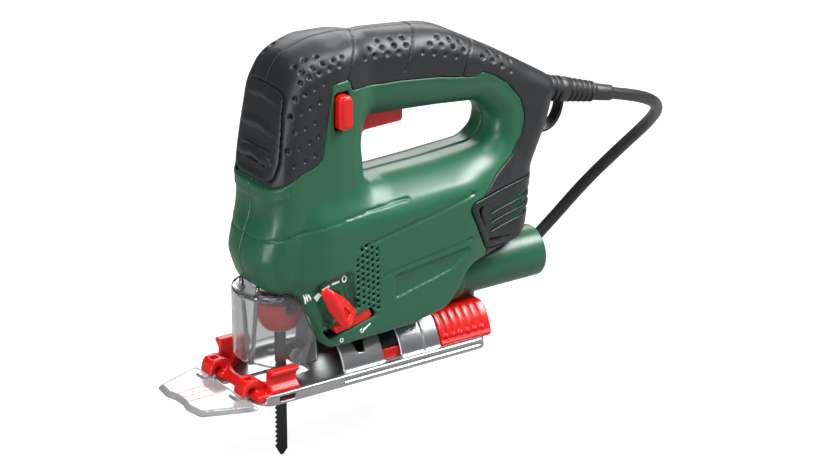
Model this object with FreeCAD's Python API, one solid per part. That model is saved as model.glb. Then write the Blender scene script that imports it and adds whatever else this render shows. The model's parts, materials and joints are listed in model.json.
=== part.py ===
"""Corded D-handle jigsaw with orbital action, as separate named pieces.

Units are millimetres. +Z is up, the front of the tool points to -X and the left side of the tool is -Y.
The origin is on the sole plane, on the line of the saw blade.
"""
import FreeCAD, Part
import math
import os

os.makedirs("parts", exist_ok=True)
Vec = FreeCAD.Vector

# ---------------------------------------------------------------- driving dimensions
CLEAR = 0.3              # gap between pieces of different bodies
FIT = 0.05               # radial running clearance of shafts and pins
WALL = 3.2               # housing shell thickness
SKIN = 1.6               # soft grip and vent cover thickness
BODY_HALF = 33.0         # half width of the motor housing
COLUMN_HALF = 27.0       # half width of the front column
HANDLE_HALF = 20.0       # half width of the handle and rear bridge

MOTOR_Z = 68.0           # height of the armature axis
STATOR_R = 27.0
ARMATURE_R = 15.6
AIR_GAP = 0.5
SHAFT_R = 4.0
BEARING_W = 7.0
FRONT_BEARING_R = 11.0
REAR_BEARING_R = 8.0
REAR_JOURNAL_R = 2.5
COMMUTATOR_R = 10.5
FAN_R = 24.0

GEAR_MODULE = 0.8
PINION_TEETH = 9
GEAR_TEETH = 52
GEAR_X = 14.0            # front face of the crank gear
GEAR_WIDTH = 7.0
AXLE_R = 4.0
CRANK_R = 10.0           # eccentricity of the crank pin, half of the stroke
CRANK_PIN_R = 3.0

ROD_R = 4.0
YOKE_THICK = 6.0
YOKE_HEIGHT = 14.0
CLAMP_R = 8.0
CLAMP_TOP = 43.0
CLAMP_BOTTOM = 31.0
COLLAR_R = 12.0

BLADE_WIDTH = 7.8
BLADE_THICK = 1.1
BLADE_TIP = -50.0
BLADE_SHANK_TOP = 41.0
TOOTH_PITCH = 3.0

ROLLER_R = 5.0
ROLLER_Z = 12.0
PIVOT_X = 19.8           # pendulum pivot
PIVOT_Z = 47.0

SOLE_FRONT = -34.0
SOLE_REAR = 124.0
SOLE_HALF = 34.0
SOLE_THICK = 2.0
RAIL_FRONT = -5.0
RAIL_HEIGHT = 7.0
SADDLE_R = 27.5
SADDLE_THICK = 2.2
SADDLE_FRONT = 24.0
SADDLE_REAR = 95.0
DEPOT_R = 24.0
DEPOT_TOP = 20.5
DEPOT_REAR = 134.0

TUBE_R = 15.5
TUBE_BORE = 13.0
TUBE_Z = 37.5
TUBE_FRONT = 96.0
TUBE_REAR = 178.0
SOCKET_REAR = 118.0
SOCKET_WALL = 1.2

HOOD_R = 23.0
HOOD_WALL = 2.0
HOOD_CENTRE_X = -4.0
HOOD_BOTTOM = 16.0
HOOD_TOP = 58.5

TRIGGER_FRONT = 47.5
TRIGGER_REAR = 80.5
TRIGGER_HALF = 8.5

SLEEVE_START = Vec(178.0, 0.0, 140.3)
SLEEVE_DIR = Vec(0.9655, 0.0, -0.2604)
SLEEVE_LENGTH = 58.0
CORD_D = 7.5
BENCH_Z = -52.0          # plane that the free cord lies on
COIL_CENTRE = (166.0, 132.0)
COIL_MEAN_R = 41.0
COIL_ROWS = 3

# Housing outlines, as (x, z, corner radius)
BODY_OUTLINE = [(-6, 62, 13), (-14, 88, 14), (4, 112, 18), (60, 110.5, 80), (128, 114, 30),
                (152, 116, 14), (168, 96, 14), (160, 57, 14), (112, 54, 14), (90, 33, 16),
                (60, 28, 20), (13, 28, 14)]
COLUMN_OUTLINE = [(-22, 59, 11), (-34, 81, 12), (-21.5, 107, 30), (-22, 127, 40), (-8, 188, 14),
                  (10, 198, 20), (50, 199, 11), (47, 140, 20), (62, 106, 20), (62, 59, 11)]
HANDLE_OUTLINE = [(0, 140, 12), (-2, 191, 12), (20, 198.4, 40), (60, 199, 60), (104, 194, 60),
                  (150, 169, 60), (186, 147, 10), (179, 122, 40), (168, 98, 30), (166, 76, 20),
                  (159, 56, 10), (120, 58, 12), (100, 90, 20), (30, 95, 12)]
OPENING_OUTLINE = [(43, 139, 6), (50, 152, 6), (95, 150, 40), (132, 145, 10), (137, 134, 14),
                   (144, 121, 6), (134, 114, 14), (96, 111.5, 60), (58, 112, 12)]
GRIP_REGION = [(-60, 130, 0), (0, 131, 3), (15, 137, 6), (22, 178, 5), (38, 178, 3), (42, 171, 4),
               (84, 170, 60), (122, 163, 30), (146, 154, 14), (154, 135, 20), (148, 108, 14),
               (120, 86, 6), (128, 50, 0), (200, 40, 0), (230, 160, 0), (100, 260, 0), (-60, 260, 0)]
VENT_REGION = [(112, 90, 4), (123, 48, 4), (200, 44, 0), (200, 96, 0)]
BODY_PLAN = [(-17, 17, 14), (8, BODY_HALF, 40), (112, BODY_HALF, 60), (169, 16, 14)]
COLUMN_PLAN = [(-36, COLUMN_HALF, 24), (64, COLUMN_HALF, 3)]


# ---------------------------------------------------------------- shape helpers
def box(x0, x1, y0, y1, z0, z1):
    return Part.makeBox(x1 - x0, y1 - y0, z1 - z0, Vec(x0, y0, z0))


def cyl(radius, start, direction, length):
    return Part.makeCylinder(radius, length, Vec(*start), Vec(*direction))


def cyl_x(radius, x0, x1, y, z):
    return cyl(radius, (x0, y, z), (1, 0, 0), x1 - x0)


def cyl_y(radius, y0, y1, x, z):
    return cyl(radius, (x, y0, z), (0, 1, 0), y1 - y0)


def cyl_z(radius, z0, z1, x, y):
    return cyl(radius, (x, y, z0), (0, 0, 1), z1 - z0)


def ring_x(outer, inner, x0, x1, y, z):
    return cyl_x(outer, x0, x1, y, z).cut(cyl_x(inner, x0 - 1, x1 + 1, y, z))


def fuse(shapes):
    return shapes[0].multiFuse(shapes[1:]).removeSplitter() if len(shapes) > 1 else shapes[0]


def inset(points, depth):
    """Mitred copy of an outline, moved inwards by depth, with its corner radii following."""
    count = len(points)
    area = sum(points[i][0] * points[(i + 1) % count][1] - points[(i + 1) % count][0] * points[i][1]
               for i in range(count))
    sign = 1.0 if area > 0 else -1.0
    moved = []
    for i, (a, b, radius) in enumerate(points):
        before, after = points[i - 1], points[(i + 1) % count]
        in_a, in_b = unit(a - before[0], b - before[1])
        out_a, out_b = unit(after[0] - a, after[1] - b)
        turn = sign * (in_a * out_b - in_b * out_a)
        scale = depth * sign / (1.0 + in_a * out_a + in_b * out_b)
        moved.append((a - (in_b + out_b) * scale, b + (in_a + out_a) * scale,
                      max(radius - depth if turn > 0 else radius + depth, 0.0)))
    return moved


def unit(a, b):
    size = math.hypot(a, b)
    return a / size, b / size


def outline_face(points, place):
    """Face of a closed outline whose corners are rounded; place turns (a, b) into a point."""
    count = len(points)
    starts, edges = [], []
    for i, (a, b, radius) in enumerate(points):
        before, after = points[i - 1], points[(i + 1) % count]
        in_a, in_b = unit(a - before[0], b - before[1])
        out_a, out_b = unit(after[0] - a, after[1] - b)
        turn = math.atan2(in_a * out_b - in_b * out_a, in_a * out_a + in_b * out_b)
        reach = radius * math.tan(abs(turn) / 2)
        side = 1.0 if turn > 0 else -1.0
        first = (a - in_a * reach, b - in_b * reach)
        last = (a + out_a * reach, b + out_b * reach)
        if reach > 0.01:
            centre = (first[0] - in_b * radius * side, first[1] + in_a * radius * side)
            mid_a, mid_b = unit(a - centre[0], b - centre[1])
            middle = (centre[0] + mid_a * radius, centre[1] + mid_b * radius)
            starts.append((first, middle, last))
        else:
            starts.append(((a, b), None, (a, b)))
    for i, (first, middle, last) in enumerate(starts):
        if middle:
            edges.append(Part.Arc(place(*first), place(*middle), place(*last)).toShape())
        following = starts[(i + 1) % count][0]
        if math.dist(last, following) > 0.01:
            edges.append(Part.LineSegment(place(*last), place(*following)).toShape())
    return Part.Face(Part.Wire(edges))


def side_prism(points, y0, y1):
    """Outline of (x, z, radius) carried from y0 to y1."""
    face = outline_face(points, lambda a, b: Vec(a, y0, b))
    return face.extrude(Vec(0, y1 - y0, 0))


def plan_prism(points, z0, z1):
    """Outline of (x, y, radius) carried from z0 to z1."""
    face = outline_face(points, lambda a, b: Vec(a, b, z0))
    return face.extrude(Vec(0, 0, z1 - z0))


def end_prism(points, x0, x1):
    """Outline of (y, z, radius) carried from x0 to x1."""
    face = outline_face(points, lambda a, b: Vec(x0, a, b))
    return face.extrude(Vec(x1 - x0, 0, 0))


def square(points):
    return [(a, b, 0) for a, b in points]


def mirrored_plan(points):
    return points + [(x, -y, r) for x, y, r in reversed(points)]


def rounded_slab(points, half, rounding, depth):
    """Outline carried across the tool, inset by depth all round, with its long edges rounded."""
    slab = side_prism(inset(points, depth), -(half - depth), half - depth)
    ends = [edge for edge in slab.Edges
            if abs(abs(edge.CenterOfMass.y) - (half - depth)) < 1e-6]
    return slab.makeFillet(max(rounding - depth, 1.0), ends)


def sweep(points, radius, bend):
    """Round bar along straight runs joined by arcs of radius bend."""
    path = Part.Wire(path_edges([Vec(*p) for p in points], [bend] * (len(points) - 2)))
    start = path.Edges[0]
    normal = start.tangentAt(start.FirstParameter)
    circle = Part.Wire(Part.Circle(start.valueAt(start.FirstParameter), normal, radius).toShape())
    return path.makePipeShell([circle], True, False)


def path_edges(points, radii):
    edges, last = [], points[0]
    for corner, radius in zip(range(1, len(points) - 1), radii):
        here = points[corner]
        inward = (here - points[corner - 1]).normalize()
        outward = (points[corner + 1] - here).normalize()
        turn = inward.getAngle(outward)
        reach = radius * math.tan(turn / 2)
        first, after = here - inward * reach, here + outward * reach
        bisector = (outward - inward).normalize()
        middle = here + bisector * (radius / math.cos(turn / 2) - radius)
        edges.append(Part.LineSegment(last, first).toShape())
        edges.append(Part.Arc(first, middle, after).toShape())
        last = after
    edges.append(Part.LineSegment(last, points[-1]).toShape())
    return edges


def gear_outline(teeth, module, x0, x1, y, z, phase):
    """Straight-flanked spur gear about an axis along X; phase is the angle of its first tooth."""
    root, tip = module * (teeth / 2 - 1.2), module * (teeth / 2 + 0.9)
    pitch = 2 * math.pi / teeth
    points = []
    for tooth in range(teeth):
        middle = phase + tooth * pitch
        for radius, offset in ((root, -0.31), (tip, -0.12), (tip, 0.12), (root, 0.31)):
            angle = middle + offset * pitch
            points.append(Vec(x0, y + radius * math.cos(angle), z + radius * math.sin(angle)))
    face = Part.Face(Part.makePolygon(points + points[:1]))
    return face.extrude(Vec(x1 - x0, 0, 0))


nodes = {}


def keep(name, *shapes):
    nodes[name] = shapes


# ---------------------------------------------------------------- housing
def housing_form(depth):
    """The whole outer form, inset by depth, before the finger opening is cut."""
    body_plan = plan_prism(inset(mirrored_plan(BODY_PLAN), depth), 0, 150)
    body = rounded_slab(BODY_OUTLINE, BODY_HALF, 12.0, depth).common(body_plan)
    column_plan = plan_prism(inset(mirrored_plan(COLUMN_PLAN), depth), 0, 250)
    column = rounded_slab(COLUMN_OUTLINE, COLUMN_HALF, 10.0, depth).common(column_plan)
    handle = rounded_slab(HANDLE_OUTLINE, HANDLE_HALF, 9.0, depth)
    form = body.fuse(column).fuse(handle)
    return form.cut(side_prism(inset(OPENING_OUTLINE, -depth), -60, 60))


def split(shape):
    half = box(-100, 300, -100, 0, -100, 300)
    return shape.common(half), shape.cut(half)


SCREW_SPOTS = [(-14, 112), (34, 188), (126, 104), (160, 140), (44, 99), (140, 66)]
SCREW_BOSS_R = 4.2
SCREW_R = 1.9
SCREW_HEAD_R = 3.4

outer = housing_form(0)
skin_floor = housing_form(SKIN)
cavity = housing_form(WALL)
socket_outer = cyl_x(TUBE_R + SOCKET_WALL, SADDLE_REAR + CLEAR, SOCKET_REAR, 0, TUBE_Z)
socket_bore = cyl_x(TUBE_R + FIT, TUBE_FRONT - 0.3, SOCKET_REAR + 20, 0, TUBE_Z)
grip_region = side_prism(GRIP_REGION, -60, 60)
vent_region = side_prism(VENT_REGION, -60, 60)

layer = outer.cut(skin_floor)
vent_layer = layer.common(vent_region)
louvres = []
for row in range(3):
    z = 66.0 + row * 8.5
    louvres.append(side_prism(square([(126, z), (128, z - 4), (190, z - 6), (190, z - 1)]), -60, 60))
vent_slots = fuse(louvres)
vent_cover = vent_layer.cut(vent_slots)
grip = layer.common(grip_region).cut(vent_region)

mouth = box(-12.5, 23, -16.5, 16.5, 10, 67)
trigger_slot = box(TRIGGER_FRONT - 0.5, TRIGGER_REAR + 0.5, -TRIGGER_HALF - 0.4, TRIGGER_HALF + 0.4, 138, 157)
LOCK_BUTTON = (22.3, 31.5, 153.5, 174.5)
lock_hole = box(LOCK_BUTTON[0] - 0.4, LOCK_BUTTON[1] + 0.4, -60, -15,
                LOCK_BUTTON[2] - 0.4, LOCK_BUTTON[3] + 0.4)
SELECTOR = (21.5, 48.0)
SELECTOR_HUB_R = 6.0
selector_hole = cyl_y(SELECTOR_HUB_R + CLEAR, -60, -20, *SELECTOR)
BLOWER_SLOT = (12.0, 44.0, 34.0, 41.0)
blower_hole = box(BLOWER_SLOT[0], BLOWER_SLOT[1], -60, -20, BLOWER_SLOT[2], BLOWER_SLOT[3])
sleeve_hole = cyl(7.4, SLEEVE_START - SLEEVE_DIR * 20, SLEEVE_DIR, 40)
PANEL_DEPTH = 1.2
panel_outline = [(3, 66, 2), (28, 69.5, 2.5), (34, 66, 1.5), (35.5, 46, 1.5), (47, 42, 2), (47, 30, 3), (14, 30, 3)]
panel = side_prism(panel_outline, -60, -(BODY_HALF - PANEL_DEPTH))

vent_holes = []
for column in range(5):
    for row in range(10):
        hole_x = 37.0 + column * 3.3
        hole_z = 47.0 + row * 3.1 + (1.65 if column % 2 else 0)
        vent_holes.append(cyl_y(1.0, -60, -25, hole_x, hole_z))

shell = outer.fuse(socket_outer.cut(cavity)).cut(cavity)
bosses = [cyl_y(SCREW_BOSS_R, -60, 60, x, z) for x, z in SCREW_SPOTS]
shell = shell.fuse(fuse(bosses).common(cavity))
motor_space = cyl_x(STATOR_R, 34, 100, 0, MOTOR_Z)
for cut in (grip, vent_layer, socket_bore, mouth, trigger_slot, lock_hole, selector_hole, blower_hole,
            sleeve_hole, panel, Part.makeCompound(vent_holes), motor_space):
    shell = shell.cut(cut)

screws, screw_room = [], []
for x, z in SCREW_SPOTS:
    half = HANDLE_HALF if z > 130 and x > 50 else COLUMN_HALF
    half = HANDLE_HALF if x > 150 else half
    head_y = half - 8.0
    screws.append(fuse([cyl_y(SCREW_R, -9, head_y, x, z), cyl_y(SCREW_HEAD_R, head_y, head_y + 2.4, x, z)]))
    screw_room += [cyl_y(SCREW_R, -9, head_y, x, z), cyl_y(SCREW_HEAD_R, head_y, 60, x, z)]
screw_cut = fuse(screw_room)
shell = shell.cut(screw_cut)
grip = grip.cut(screw_cut).cut(sleeve_hole).cut(trigger_slot).cut(lock_hole)
vent_cover = vent_cover.cut(screw_cut)

left, right = split(shell)
keep("housing_left", left)
keep("housing_right", right)
grip_l, grip_r = split(grip)
keep("grip_left", grip_l)
keep("grip_right", grip_r)
vent_l, vent_r = split(vent_cover)
keep("rear_vent_left", vent_l)
keep("rear_vent_right", vent_r)
keep("housing_screws", *screws)

PAD_PROUD = 1.6
pad_form = rounded_slab(COLUMN_OUTLINE, COLUMN_HALF, 10.0, -PAD_PROUD)
pad_region = end_prism([(-18.5, 124.5, 9), (18.5, 124.5, 9), (15, 185, 9), (-15, 185, 9)], -40, 4)
keep("front_grip_pad", pad_form.cut(outer).common(pad_region))

# ---------------------------------------------------------------- motor
FRONT_BEARING_X = 26.0
FAN_X = 36.0
CORE_X = 53.0
CORE_LENGTH = 36.0
COMMUTATOR_X = 100.0
COMMUTATOR_LENGTH = 14.0
REAR_BEARING_X = 119.0

stator = ring_x(STATOR_R, ARMATURE_R + AIR_GAP, CORE_X, CORE_X + CORE_LENGTH, 0, MOTOR_Z)
COIL_ROOM = 6.0
for side in (1, -1):
    slot = box(CORE_X - 1, CORE_X + CORE_LENGTH + 1, -8, 8, MOTOR_Z - COIL_ROOM / 2, MOTOR_Z + COIL_ROOM / 2)
    stator = stator.cut(slot.translated(Vec(0, side * (ARMATURE_R + 3), 0)))
keep("stator_core", stator)

coils = []
for top in (1, -1):
    for x0, x1 in ((CORE_X - 7, CORE_X), (CORE_X + CORE_LENGTH, CORE_X + CORE_LENGTH + 7)):
        bundle = ring_x(23.5, 18.0, x0, x1, 0, MOTOR_Z)
        window = box(x0 - 1, x1 + 1, -30, 30, MOTOR_Z + 3.2, MOTOR_Z + 40)
        if top < 0:
            window = box(x0 - 1, x1 + 1, -30, 30, MOTOR_Z - 40, MOTOR_Z - 3.2)
        coils.append(bundle.common(window))
keep("field_coils", *coils)

core = ring_x(ARMATURE_R, SHAFT_R, CORE_X, CORE_X + CORE_LENGTH, 0, MOTOR_Z)
for slot in range(12):
    angle = slot * 30.0
    cut = box(CORE_X - 1, CORE_X + CORE_LENGTH + 1, -1.2, 1.2, 9.5, ARMATURE_R + 1)
    cut.rotate(Vec(0, 0, 0), Vec(1, 0, 0), angle)
    core = core.cut(cut.translated(Vec(0, 0, MOTOR_Z)))
keep("armature_core", core)
keep("armature_windings",
     ring_x(14.2, SHAFT_R, CORE_X - 6, CORE_X, 0, MOTOR_Z),
     ring_x(14.2, SHAFT_R, CORE_X + CORE_LENGTH, CORE_X + CORE_LENGTH + 7, 0, MOTOR_Z))
commutator = ring_x(COMMUTATOR_R, SHAFT_R, COMMUTATOR_X, COMMUTATOR_X + COMMUTATOR_LENGTH, 0, MOTOR_Z)
keep("commutator", commutator)

gear_z = MOTOR_Z + GEAR_MODULE * (PINION_TEETH + GEAR_TEETH) / 2
pinion_phase = math.pi / 2 + math.pi / PINION_TEETH
pinion = gear_outline(PINION_TEETH, GEAR_MODULE, GEAR_X - 1, GEAR_X + GEAR_WIDTH + 1, 0, MOTOR_Z, pinion_phase)
shaft = fuse([pinion, cyl_x(SHAFT_R - 1.2, GEAR_X + GEAR_WIDTH, FRONT_BEARING_X, 0, MOTOR_Z),
              cyl_x(SHAFT_R, FRONT_BEARING_X, REAR_BEARING_X, 0, MOTOR_Z),
              cyl_x(REAR_JOURNAL_R, REAR_BEARING_X, REAR_BEARING_X + BEARING_W + 1, 0, MOTOR_Z)])
keep("armature_shaft", shaft)

fan = [ring_x(8.0, SHAFT_R, FAN_X, FAN_X + 8, 0, MOTOR_Z), ring_x(FAN_R, 7.0, FAN_X + 6.5, FAN_X + 8, 0, MOTOR_Z)]
for blade in range(12):
    vane = box(FAN_X, FAN_X + 7, -0.7, 0.7, 7, FAN_R - 0.5)
    vane.rotate(Vec(0, 0, 0), Vec(1, 0, 0), blade * 30.0)
    fan.append(vane.translated(Vec(0, 0, MOTOR_Z)))
keep("cooling_fan", fuse(fan))

keep("front_bearing", ring_x(FRONT_BEARING_R, SHAFT_R + FIT, FRONT_BEARING_X, FRONT_BEARING_X + BEARING_W,
                             0, MOTOR_Z))
keep("rear_bearing", ring_x(REAR_BEARING_R, REAR_JOURNAL_R + FIT, REAR_BEARING_X + 0.3,
                            REAR_BEARING_X + BEARING_W, 0, MOTOR_Z))

BRUSH_X = COMMUTATOR_X + 3.5
BRUSH_W = 7.0
BRUSH_H = 5.0
brushes, holders = [], []
for side in (1, -1):
    y0, y1 = sorted((side * (COMMUTATOR_R + CLEAR), side * (COMMUTATOR_R + 13)))
    brushes.append(box(BRUSH_X, BRUSH_X + BRUSH_W, y0, y1, MOTOR_Z - BRUSH_H / 2, MOTOR_Z + BRUSH_H / 2))
    y0, y1 = sorted((side * (COMMUTATOR_R + 2.5), side * (COMMUTATOR_R + 15)))
    case = box(BRUSH_X - 1.5, BRUSH_X + BRUSH_W + 1.5, y0, y1,
               MOTOR_Z - BRUSH_H / 2 - 1.5, MOTOR_Z + BRUSH_H / 2 + 1.5)
    holders.append(case.cut(brushes[-1]))
keep("carbon_brushes", *brushes)
rear_frame = box(REAR_BEARING_X - 2, REAR_BEARING_X + BEARING_W, -17, 17,
                 MOTOR_Z - REAR_BEARING_R - 1.7,
                 MOTOR_Z + 14)
rear_frame = rear_frame.cut(cyl_x(REAR_BEARING_R, REAR_BEARING_X + 0.3, REAR_BEARING_X + 20, 0, MOTOR_Z))
rear_frame = rear_frame.cut(cyl_x(SHAFT_R + 1, REAR_BEARING_X - 5, REAR_BEARING_X + 1, 0, MOTOR_Z))
arms = [box(BRUSH_X + BRUSH_W + 1.5, REAR_BEARING_X - 2, side * 15 - 2, side * 15 + 2, MOTOR_Z - 4, MOTOR_Z + 4)
        for side in (1, -1)]
keep("brush_holders", fuse(holders + arms + [rear_frame]))

# ---------------------------------------------------------------- gearing and rod
PLATE_X = 24.5
PLATE_BACK = 34.5
GUIDE_R = 7.0
LOWER_GUIDE = (54.0, 62.0)
UPPER_GUIDE = (116.5, 126.0)
plate = end_prism([(-22, 38, 5), (22, 38, 5), (22.5, 120, 6), (8, 128, 2), (-8, 128, 2), (-22.5, 120, 6)],
                  PLATE_X, PLATE_BACK)
plate = plate.cut(cyl_x(FRONT_BEARING_R, FRONT_BEARING_X, PLATE_BACK + 1, 0, MOTOR_Z))
plate = plate.cut(cyl_x(SHAFT_R + 2, PLATE_X - 1, FRONT_BEARING_X + 1, 0, MOTOR_Z))
guide_arms = []
for z0, z1 in (LOWER_GUIDE, UPPER_GUIDE):
    arm = fuse([box(0, PLATE_X, -8.5, 8.5, z0, z1), cyl_z(8.5, z0, z1, 0, 0)])
    guide_arms.append(arm.cut(cyl_z(GUIDE_R, z0 - 1, z1 + 1, 0, 0)))
pivot_lugs = [box(PIVOT_X - 4.5, PLATE_X, side * 9.5 - 1.8, side * 9.5 + 1.8, PIVOT_Z - 4.5, LOWER_GUIDE[0])
              for side in (1, -1)]
axle = cyl_x(AXLE_R, GEAR_X - 0.5, PLATE_BACK - 1, 0, gear_z)
pivot_pin = cyl_y(2.5, -11.3, 11.3, PIVOT_X, PIVOT_Z)
gear_case = fuse([plate] + guide_arms + pivot_lugs).cut(axle).cut(pivot_pin)
keep("gear_case", gear_case)
keep("gear_axle", axle)
keep("pendulum_pin", pivot_pin)
keep("rod_guides", *[cyl_z(GUIDE_R, z0, z1, 0, 0).cut(cyl_z(ROD_R + FIT, z0 - 1, z1 + 1, 0, 0))
                     for z0, z1 in (LOWER_GUIDE, UPPER_GUIDE)])

gear_phase = -math.pi / 2
yoke_back = YOKE_THICK / 2
gear = gear_outline(GEAR_TEETH, GEAR_MODULE, GEAR_X, GEAR_X + GEAR_WIDTH, 0, gear_z, gear_phase)
weight = cyl_x(17.0, GEAR_X - 3, GEAR_X, 0, gear_z).common(box(0, 20, 3, 30, 0, 200))
hub = cyl_x(7.5, GEAR_X, PLATE_X - CLEAR, 0, gear_z)
crank_pin = cyl_x(CRANK_PIN_R, ROD_R + CLEAR, GEAR_X + 1, -CRANK_R, gear_z)
gear = fuse([gear, weight, hub, crank_pin])
keep("crank_gear", gear.cut(cyl_x(AXLE_R + FIT, GEAR_X - 5, PLATE_X, 0, gear_z)))

yoke_reach = CRANK_R + CRANK_PIN_R + CLEAR
yoke = end_prism([(-yoke_reach - 2.5, gear_z - YOKE_HEIGHT / 2, 3), (yoke_reach + 2.5, gear_z - YOKE_HEIGHT / 2, 3),
                  (yoke_reach + 2.5, gear_z + YOKE_HEIGHT / 2, 3), (-yoke_reach - 2.5, gear_z + YOKE_HEIGHT / 2, 3)],
                 -yoke_back, yoke_back)
slot_half = CRANK_PIN_R + CLEAR
yoke_slot = end_prism([(-yoke_reach, gear_z - slot_half, 3), (yoke_reach, gear_z - slot_half, 3),
                       (yoke_reach, gear_z + slot_half, 3), (-yoke_reach, gear_z + slot_half, 3)], -10, 10)
rod = fuse([cyl_z(ROD_R, CLAMP_TOP, UPPER_GUIDE[1] + 12, 0, 0), yoke]).cut(yoke_slot)
keep("stroke_rod", rod)

shank_room = box(-BLADE_WIDTH / 2 - FIT, BLADE_WIDTH / 2 + FIT, -BLADE_THICK / 2 - FIT, BLADE_THICK / 2 + FIT,
                 CLAMP_BOTTOM - 1, BLADE_SHANK_TOP + CLEAR)
keep("blade_clamp", cyl_z(CLAMP_R, CLAMP_BOTTOM, CLAMP_TOP, 0, 0).cut(shank_room))
collar = cyl_z(COLLAR_R, CLAMP_BOTTOM - 1, CLAMP_TOP, 0, 0)
tab = plan_prism([(-11, -1, 1), (-3, -10, 1), (-8.5, -13.5, 2), (-14.3, -7.2, 2)],
                 CLAMP_BOTTOM + 1, CLAMP_TOP - 1)
collar = fuse([collar, tab]).cut(cyl_z(CLAMP_R + FIT, 0, 80, 0, 0))
keep("sds_lever", collar)

half_w = BLADE_WIDTH / 2
tooth_points = []
tooth_z = BLADE_TIP + 6
while tooth_z < 8:
    tooth_points += [(-half_w, tooth_z), (-half_w + 1.6, tooth_z + 0.5 * TOOTH_PITCH)]
    tooth_z += TOOTH_PITCH
blade_points = [(half_w, BLADE_SHANK_TOP - 11), (half_w, BLADE_TIP + 3), (1.0, BLADE_TIP),
                (-0.6, BLADE_TIP)] + tooth_points + [(-half_w + 0.8, 10), (-half_w + 0.8, BLADE_SHANK_TOP - 11),
                (-3.2, BLADE_SHANK_TOP - 9), (-3.2, BLADE_SHANK_TOP), (3.2, BLADE_SHANK_TOP),
                (3.2, BLADE_SHANK_TOP - 9)]
keep("saw_blade", side_prism(square(blade_points), -BLADE_THICK / 2, BLADE_THICK / 2))

# ---------------------------------------------------------------- orbital action
roller_x = half_w + CLEAR + ROLLER_R
FORK_HALF = 4.2
fork_outline = [(roller_x - 3.6, ROLLER_Z - 3.6, 2), (roller_x + 3.6, ROLLER_Z - 3.6, 2), (19.5, 26, 4),
                (PIVOT_X + FORK_HALF, PIVOT_Z + FORK_HALF, 3), (PIVOT_X - FORK_HALF, PIVOT_Z + FORK_HALF, 3),
                (14.4, 19.5, 3)]
fork = side_prism(fork_outline, -6.5, 6.5)
fork = fork.cut(box(-20, 40, -FORK_HALF, FORK_HALF, -20, ROLLER_Z + ROLLER_R + 1.5))
roller_pin = cyl_y(1.5, -6.5, 6.5, roller_x, ROLLER_Z)
fork = fork.cut(roller_pin).cut(cyl_y(2.5 + FIT, -10, 10, PIVOT_X, PIVOT_Z))
keep("pendulum_lever", fork)
keep("roller_pin", roller_pin)
roller = cyl_y(ROLLER_R, -3.8, 3.8, roller_x, ROLLER_Z)
groove_ring = cyl_y(ROLLER_R + 1, -BLADE_THICK / 2 - CLEAR, BLADE_THICK / 2 + CLEAR, roller_x, ROLLER_Z)
groove_ring = groove_ring.cut(cyl_y(ROLLER_R - 1.1, -2, 2, roller_x, ROLLER_Z))
keep("guide_roller", roller.cut(groove_ring).cut(cyl_y(1.5 + FIT, -5, 5, roller_x, ROLLER_Z)))

face_y = -(BODY_HALF - PANEL_DEPTH)
lever_outline = [(SELECTOR[0] - 11.5, SELECTOR[1] + 14, 1.5), (SELECTOR[0] - 7, SELECTOR[1] + 15, 1.5),
                 (SELECTOR[0] + 9, SELECTOR[1] - 3, 3), (SELECTOR[0] + 6.5, SELECTOR[1] - 8.5, 3),
                 (SELECTOR[0] - 3, SELECTOR[1] - 8, 4)]
lever = fuse([side_prism(lever_outline, face_y - 5.0, face_y - CLEAR), cyl_y(SELECTOR_HUB_R, face_y - 1, -24, *SELECTOR)])
selector_shaft = cyl_y(3.0, -28, -12, *SELECTOR)
keep("orbit_selector", lever.cut(selector_shaft))
keep("selector_shaft", selector_shaft)

SLIDER_X = (33.0, 41.0)
keep("blower_slider", box(SLIDER_X[0], SLIDER_X[1], face_y + 0.1, -26.0, BLOWER_SLOT[2] + CLEAR,
                          BLOWER_SLOT[3] - CLEAR))

# ---------------------------------------------------------------- switch and trigger
TRIGGER_TOP = 158.0
trigger_outline = [(TRIGGER_FRONT, 141, 3), (TRIGGER_REAR, 141, 4), (TRIGGER_REAR, TRIGGER_TOP, 0),
                   (TRIGGER_FRONT, TRIGGER_TOP, 0)]
keep("trigger", side_prism(trigger_outline, -TRIGGER_HALF, TRIGGER_HALF))
SWITCH_BOTTOM = 170.0
SWITCH_TOP = 187.0
spring_x = (TRIGGER_FRONT + TRIGGER_REAR) / 2
SPRING_R = 4.0
SPRING_WIRE_R = 0.6
spring_length = SWITCH_BOTTOM - TRIGGER_TOP - 2 * (CLEAR + SPRING_WIRE_R)
helix = Part.makeHelix(2.1, spring_length, SPRING_R)
helix_circle = Part.Wire(Part.Circle(Vec(SPRING_R, 0, 0), Vec(0, 1, 0.08), SPRING_WIRE_R).toShape())
spring = Part.Wire(helix.Edges).makePipeShell([helix_circle], True, True)
keep("trigger_spring", spring.translated(Vec(spring_x, 0, TRIGGER_TOP + CLEAR + SPRING_WIRE_R)))
switch = box(spring_x - 17, spring_x + 17, -9, 9, SWITCH_BOTTOM, SWITCH_TOP)
ribs = [box(spring_x - 10, spring_x + 10, side * 14.3 - 5.3, side * 14.3 + 5.3, 176, 179) for side in (1, -1)]
keep("switch_module", fuse([switch] + [r.common(cavity) for r in ribs]))
button_outline = [(LOCK_BUTTON[0], LOCK_BUTTON[2], 3), (LOCK_BUTTON[1], LOCK_BUTTON[2], 3),
                  (LOCK_BUTTON[1], LOCK_BUTTON[3], 3), (LOCK_BUTTON[0], LOCK_BUTTON[3], 3)]
keep("lock_button", side_prism(button_outline, -(COLUMN_HALF + 4.0), -(COLUMN_HALF - 9.0)))

# ---------------------------------------------------------------- cord entry
def along_sleeve(distance):
    return SLEEVE_START + SLEEVE_DIR * distance


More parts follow.
